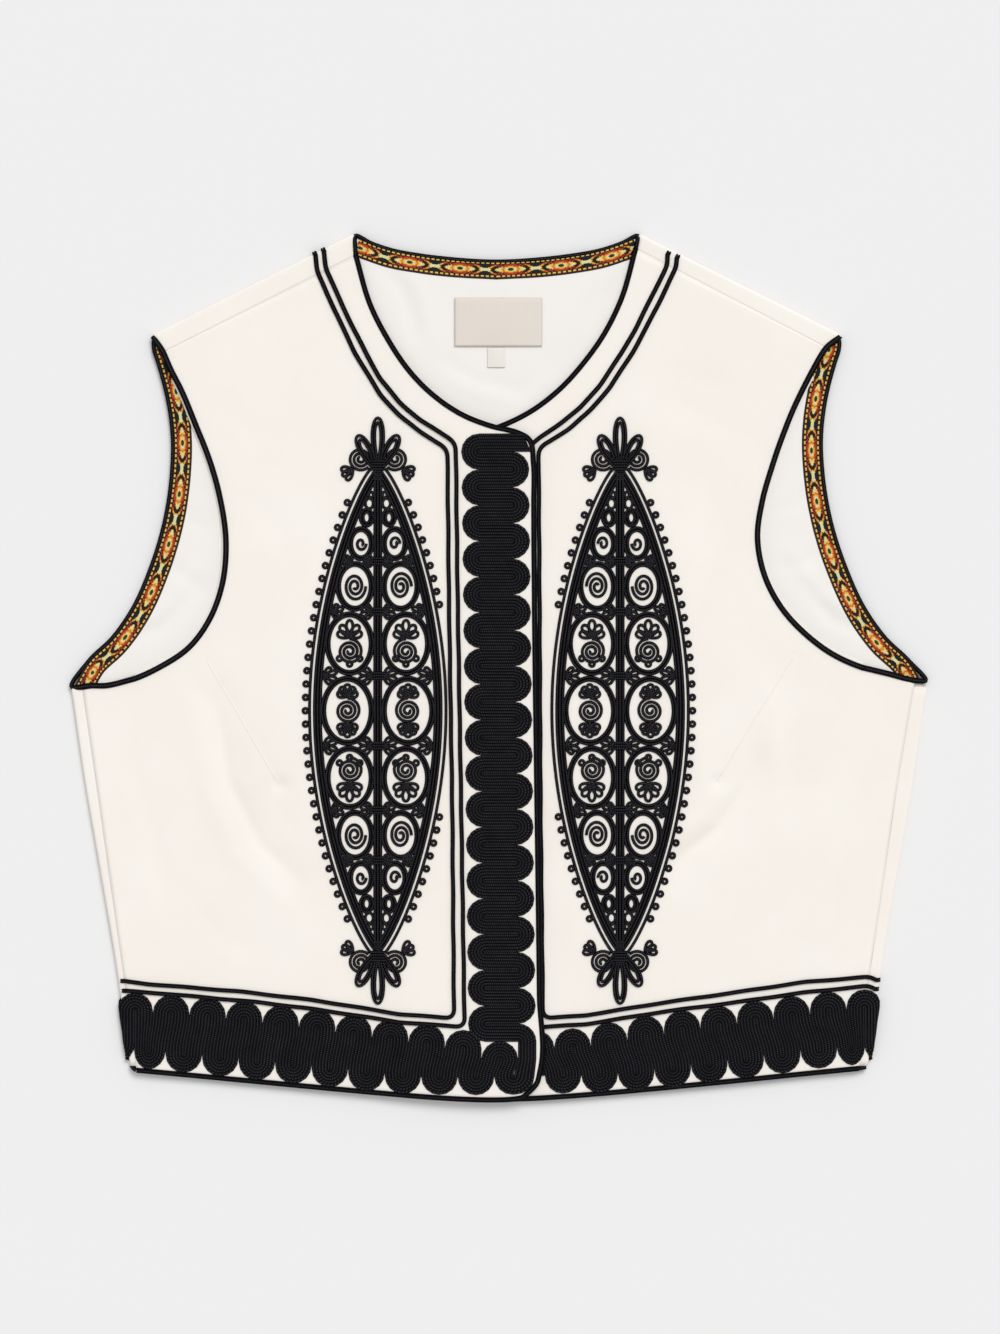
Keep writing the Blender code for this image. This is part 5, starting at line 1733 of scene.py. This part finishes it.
def armhole_loop(front):
    """The line of an armhole's binding, over the shoulder fold and the side fold."""
    side = front.side
    points = on_front(outer_ends(front.armhole_rows), front, BINDING_LIFT).tolist()
    tip_y = SHOULDER_TIP[1] - 0.6
    tip_x = side * (SHOULDER_TIP[0] - 0.6) + lean(tip_y)
    x, y, _ = points[-1]
    points.append((x + (tip_x - x) * 0.7, y + (tip_y - y) * 0.7, FRONT_TOP - 0.3))
    points.append((tip_x, tip_y, FOLD_MIDDLE + 0.1))
    for row in BACK_ARMHOLE_ROWS[::-1]:
        points.append((side * row.outer_x + lean(row.outer_y), row.outer_y, BACK_BINDING_Z))
    fold = side * (BACK_SIDE_ROWS[-1].outer_x - 1.0)
    underarm = front.seam_rows[-1].outer_y
    points.append((fold, underarm + 1.4, FOLD_MIDDLE))
    points.append((fold - side * 3.0, underarm + 1.5, FRONT_TOP - 0.5))
    points.append((fold - side * 9.0, underarm + 2.4, FRONT_TOP - 0.35))
    closed = np.array(points + points[:2])
    at = places(closed)
    where = np.linspace(at[1], at[-1], round((at[-1] - at[1]) / BINDING_STEP) + 1)[:-1]
    return curve_at(closed, at, where)


def back_neck_half(front):
    """The back neck's binding, from one shoulder seam to the middle."""
    side, seam = front.side, front.armhole_rows[-1]
    x, y = seam.inner_x, seam.inner_y
    corner_y = SHOULDER_NECK_END[1] - 1.2
    corner_x = side * (SHOULDER_NECK_END[0] - 0.8) + lean(corner_y)
    points = [
        (x, y, FRONT_TOP - 0.35),
        (x + (corner_x - x) * 0.7, y + (corner_y - y) * 0.7, FRONT_TOP - 0.45),
        (corner_x, corner_y, FOLD_MIDDLE),
    ]
    edge = back_edges()[0][NECK_ROW:-1]
    return points + [(side * x + lean(y), y, BACK_BINDING_Z) for x, y in edge[::-1]]


def back_hem_half(front):
    """The back hem's binding, from one side seam to the middle."""
    side, seam, row = front.side, front.seam_rows[0], BACK_SIDE_ROWS[0]
    points = [
        (seam.outer_x + side * 0.2, seam.outer_y, FRONT_TOP - 0.35),
        (side * (row.outer_x - 1.0), row.outer_y - 0.6, FOLD_MIDDLE),
        (side * (row.outer_x - 3.4), row.outer_y - 0.3, BACK_BINDING_Z),
    ]
    edge = np.linspace(row.outer_x - 12.0, 0.0, 16)
    return points + [(side * x, float(back_hem_y(x)), BACK_BINDING_Z) for x in edge]


class MakeDoubleCords(bpy.types.Operator):
    """The pairs of cords round the neck, down the fronts and along the hem"""

    bl_idname = "vest.make_double_cords"
    bl_label = "Double cords"

    def execute(self, context):
        section = twin_section(sizes().cord_width / MM / 2, CORD_HEIGHT)
        neck_inner, neck_outer = BACK_NECK_CORDS
        hem_upper, hem_lower = BACK_HEM_CORDS
        for name, route, front, neck, hem in (
            ("right_outer_cord", RIGHT_OUTER_CORD, RIGHT, neck_outer, hem_upper),
            ("right_inner_cord", RIGHT_INNER_CORD, RIGHT, neck_inner, hem_lower),
            ("left_outer_cord", LEFT_OUTER_CORD, LEFT, neck_outer, hem_upper),
            ("left_inner_cord", LEFT_INNER_CORD, LEFT, neck_inner, None),
            ("left_lower_cord", LEFT_LOWER_CORD, LEFT, None, hem_lower),
        ):
            sew(name, "soutache", [double_cord(route, front, neck, hem)], section)
        return {"FINISHED"}


class MakeBraids(bpy.types.Operator):
    """The meandering braids of six cords, on the front edge and all round the hem"""

    bl_idname = "vest.make_braids"
    bl_label = "Meandering braids"

    def execute(self, context):
        self.placket()
        self.hem(RIGHT, RIGHT_HEM_LINE, RIGHT_HEM_FIRST_LEG, RIGHT_HEM_LEAN, False,
                 PLACKET_DROP_Y, 0.65)
        self.hem(LEFT, LEFT_HEM_LINE, LEFT_HEM_FIRST_LEG, LEFT_HEM_LEAN, True)
        return {"FINISHED"}

    def hem(self, front, table, first_leg, lean_out, first_up, start=None, held=0.0):
        path = HemPath(front, table)
        fronts = np.arange(first_leg, path.fold, LEG_PITCH)
        # The last lobe turns at its top in the middle of the back, where both halves meet
        rest = path.length - fronts[-1]
        count = round(rest / LEG_PITCH + 0.5)
        if (len(fronts) + count - 1) % 2 == (0 if first_up else 1):
            count += 1
        pitch = rest / (count - 0.5)
        legs = np.concatenate([fronts, fronts[-1] + pitch * np.arange(1, count + 1)])
        stations = serpentine(
            legs, first_up, lambda s: path.edges(s)[0], lambda s: path.edges(s)[1], start
        )
        stations = stations[:-(LOBE_STEPS // 2)]

        def shear(s, y):
            top, bottom = path.edges(s)
            fade = 1 - smooth((s - path.fold + 20.0) / 20.0)
            fade = fade * (1 - held * (1 - smooth((s - first_leg + 5.0) / 15.0)))
            return lean_out * fade * smooth((top - LOBE_RADIUS - y) / (top - bottom - 2 * LOBE_RADIUS))

        ribbon(f"{front.word}_hem_braid", stations, shear, path.place, path.height, front.side < 0)

    def placket(self):
        """The same path turned on its side: legs run across and the path goes down."""
        legs = np.arange(PLACKET_LEGS) * PLACKET_PITCH

        def edge(first, last):
            return lambda s: first + (last - first) * np.clip(s / legs[-1], 0, 1)

        stations = serpentine(
            legs, False, edge(*PLACKET_RIGHT), edge(*PLACKET_LEFT), PLACKET_START_X
        ).tolist()
        stations[0][3] = PLACKET_START_SKEW * stations[0][2]
        # The last leg runs to the right and turns down into the hem
        _, start, *normal = stations[-1]
        for t in np.linspace(0.1, 1.0, 8):
            stations.append((legs[-1], start + (PLACKET_DROP_X - start) * t, *normal))
        radius = LEG_PITCH / 2
        for turn in np.linspace(0, math.pi / 2, 6)[1:]:
            dx, dy = -math.cos(turn), math.sin(turn)
            stations.append((legs[-1] + radius + radius * dx, PLACKET_DROP_X + radius * dy, dx, dy))
        stations.append((stations[-1][0] + 0.6, stations[-1][1], 0.0, 1.0))
        stations = np.array(stations)

        def place(s, y, lift):
            plan_y = PLACKET_TOP_LEG - s
            return np.stack([y, plan_y, right_front_z(y, plan_y) + lift], axis=-1)

        ribbon("placket_braid", stations, lambda s, y: 0.0, place, lambda s: 1.0)


class MakeMedallions(bpy.types.Operator):
    """The almond medallions of corded scrolls"""

    bl_idname = "vest.make_medallions"
    bl_label = "Medallions"

    def execute(self, context):
        section = round_section(sizes().scroll_cord / MM / 2, SCROLL_CORD_HEIGHT, 6)
        for front in (RIGHT, LEFT):
            strands = []
            for line, closed, lift in medallion_lines():
                x = front.side * (MEDALLION_X - line[:, 0])
                plan = np.column_stack([x, MEDALLION_Y + line[:, 1]])
                points = on_front(plan, front, SCROLL_CORD_LIFT + lift)
                strands.append(strand(points, closed=closed))
            sew(f"{front.word}_medallion", "cords", strands, section)
        return {"FINISHED"}


class MakeLabels(bpy.types.Operator):
    """The blank woven label and size tab inside the back neck"""

    bl_idname = "vest.make_labels"
    bl_label = "Labels"

    def execute(self, context):
        for name, node, centre, size, tone, lift in (
            ("size_tab_cloth", "size_tab", TAB_CENTRE, TAB_SIZE, colour("tab"), 0.1),
            ("label_cloth", "label", LABEL_CENTRE, LABEL_SIZE, colour("label"), 0.5),
        ):
            bpy.ops.object.select_all(action="DESELECT")
            bpy.ops.mesh.primitive_grid_add(x_subdivisions=40, y_subdivisions=26, size=1.0)
            obj = bpy.context.active_object
            obj.name = obj.data.name = name
            for vertex in obj.data.vertices:
                u, v = vertex.co.x, vertex.co.y
                x = centre[0] + u * size[0]
                y = centre[1] + v * size[1]
                # The middle stands up a little, and the ends and the sewn top edge are pressed down
                bulge = LABEL_BULGE * math.cos(math.pi * u) * math.cos(math.pi * v)
                ends = LABEL_END_DROP * max(abs(u) * 2 - 0.93, 0) / 0.07
                top = LABEL_TOP_DROP * max(v * 2 - 0.86, 0) / 0.14
                z = float(lining_z(x, y)) + 0.5 + lift + bulge - (ends + top)
                vertex.co = (x * MM, y * MM, z * MM)
            obj.data.polygons.foreach_set("use_smooth", [True] * len(obj.data.polygons))
            obj.data.materials.append(label_material(name + "_satin", tone))
            make_shell(obj, LABEL_THICKNESS)
            add_piece(obj, "label_cloth", node)
        return {"FINISHED"}


class MakeStage(bpy.types.Operator):
    """The pale floor, the soft light and the camera straight above"""

    bl_idname = "vest.make_stage"
    bl_label = "Stage"

    def execute(self, context):
        scene = context.scene
        bpy.ops.object.select_all(action="DESELECT")
        bpy.ops.mesh.primitive_plane_add(size=FLOOR_SIZE, location=(0.0, 0.0, -0.0001))
        floor = bpy.context.active_object
        floor.name = "floor"
        floor.data.materials.append(floor_material("pale_floor", colour("floor")))
        world = bpy.data.worlds.new("soft_surroundings")
        world.use_nodes = True
        background = world.node_tree.nodes["Background"]
        background.inputs["Color"].default_value = (1.0, 1.0, 1.0, 1.0)
        background.inputs["Strength"].default_value = sizes().sky_light
        scene.world = world
        light = bpy.data.lights.new("key_light", "SUN")
        light.energy = sizes().key_light
        light.angle = math.radians(KEY_LIGHT_SPREAD)
        lamp = bpy.data.objects.new("key_light", light)
        lamp.location = KEY_LIGHT_PLACE
        lamp.rotation_euler = lamp.location.to_track_quat("Z", "Y").to_euler()
        scene.collection.objects.link(lamp)
        camera = bpy.data.cameras.new("camera")
        camera.lens = LENS
        camera.sensor_width = SENSOR
        distance = PHOTO_SCALE * PHOTO_HEIGHT * MM * LENS / SENSOR
        view = bpy.data.objects.new("camera", camera)
        view.location = (PHOTO_CENTRE[0] * MM, PHOTO_CENTRE[1] * MM, distance + 0.005)
        scene.collection.objects.link(view)
        scene.camera = view
        scene.view_settings.view_transform = "Standard"
        return {"FINISHED"}


class VestPanel(bpy.types.Panel):
    bl_idname = "VIEW3D_PT_folk_vest"
    bl_label = "Folk Vest"
    bl_space_type = "VIEW_3D"
    bl_region_type = "UI"
    bl_category = "Vest"

    def draw(self, context):
        layout = self.layout
        for group in (context.scene.vest_sizes, context.scene.vest_colours):
            for name in group.__annotations__:
                layout.prop(group, name)
        for operator in OPERATORS:
            layout.operator(operator.bl_idname)


OPERATORS = (
    MakeStage, MakeFronts, MakeBack, MakeLining, MakeBindings, MakeDoubleCords, MakeBraids,
    MakeMedallions, MakeLabels,
)
CLASSES = (VestSizes, VestColours, *OPERATORS, VestPanel)


def register():
    for cls in CLASSES:
        bpy.utils.register_class(cls)
    bpy.types.Scene.vest_sizes = PointerProperty(type=VestSizes)
    bpy.types.Scene.vest_colours = PointerProperty(type=VestColours)


def unregister():
    del bpy.types.Scene.vest_sizes
    del bpy.types.Scene.vest_colours
    for cls in reversed(CLASSES):
        bpy.utils.unregister_class(cls)


def main():
    register()
    bpy.ops.vest.make_stage()
    bpy.ops.vest.make_fronts()
    bpy.ops.vest.make_back()
    bpy.ops.vest.make_lining()
    bpy.ops.vest.make_bindings()
    bpy.ops.vest.make_double_cords()
    bpy.ops.vest.make_braids()
    bpy.ops.vest.make_medallions()
    bpy.ops.vest.make_labels()


if __name__ == "__main__":
    main()
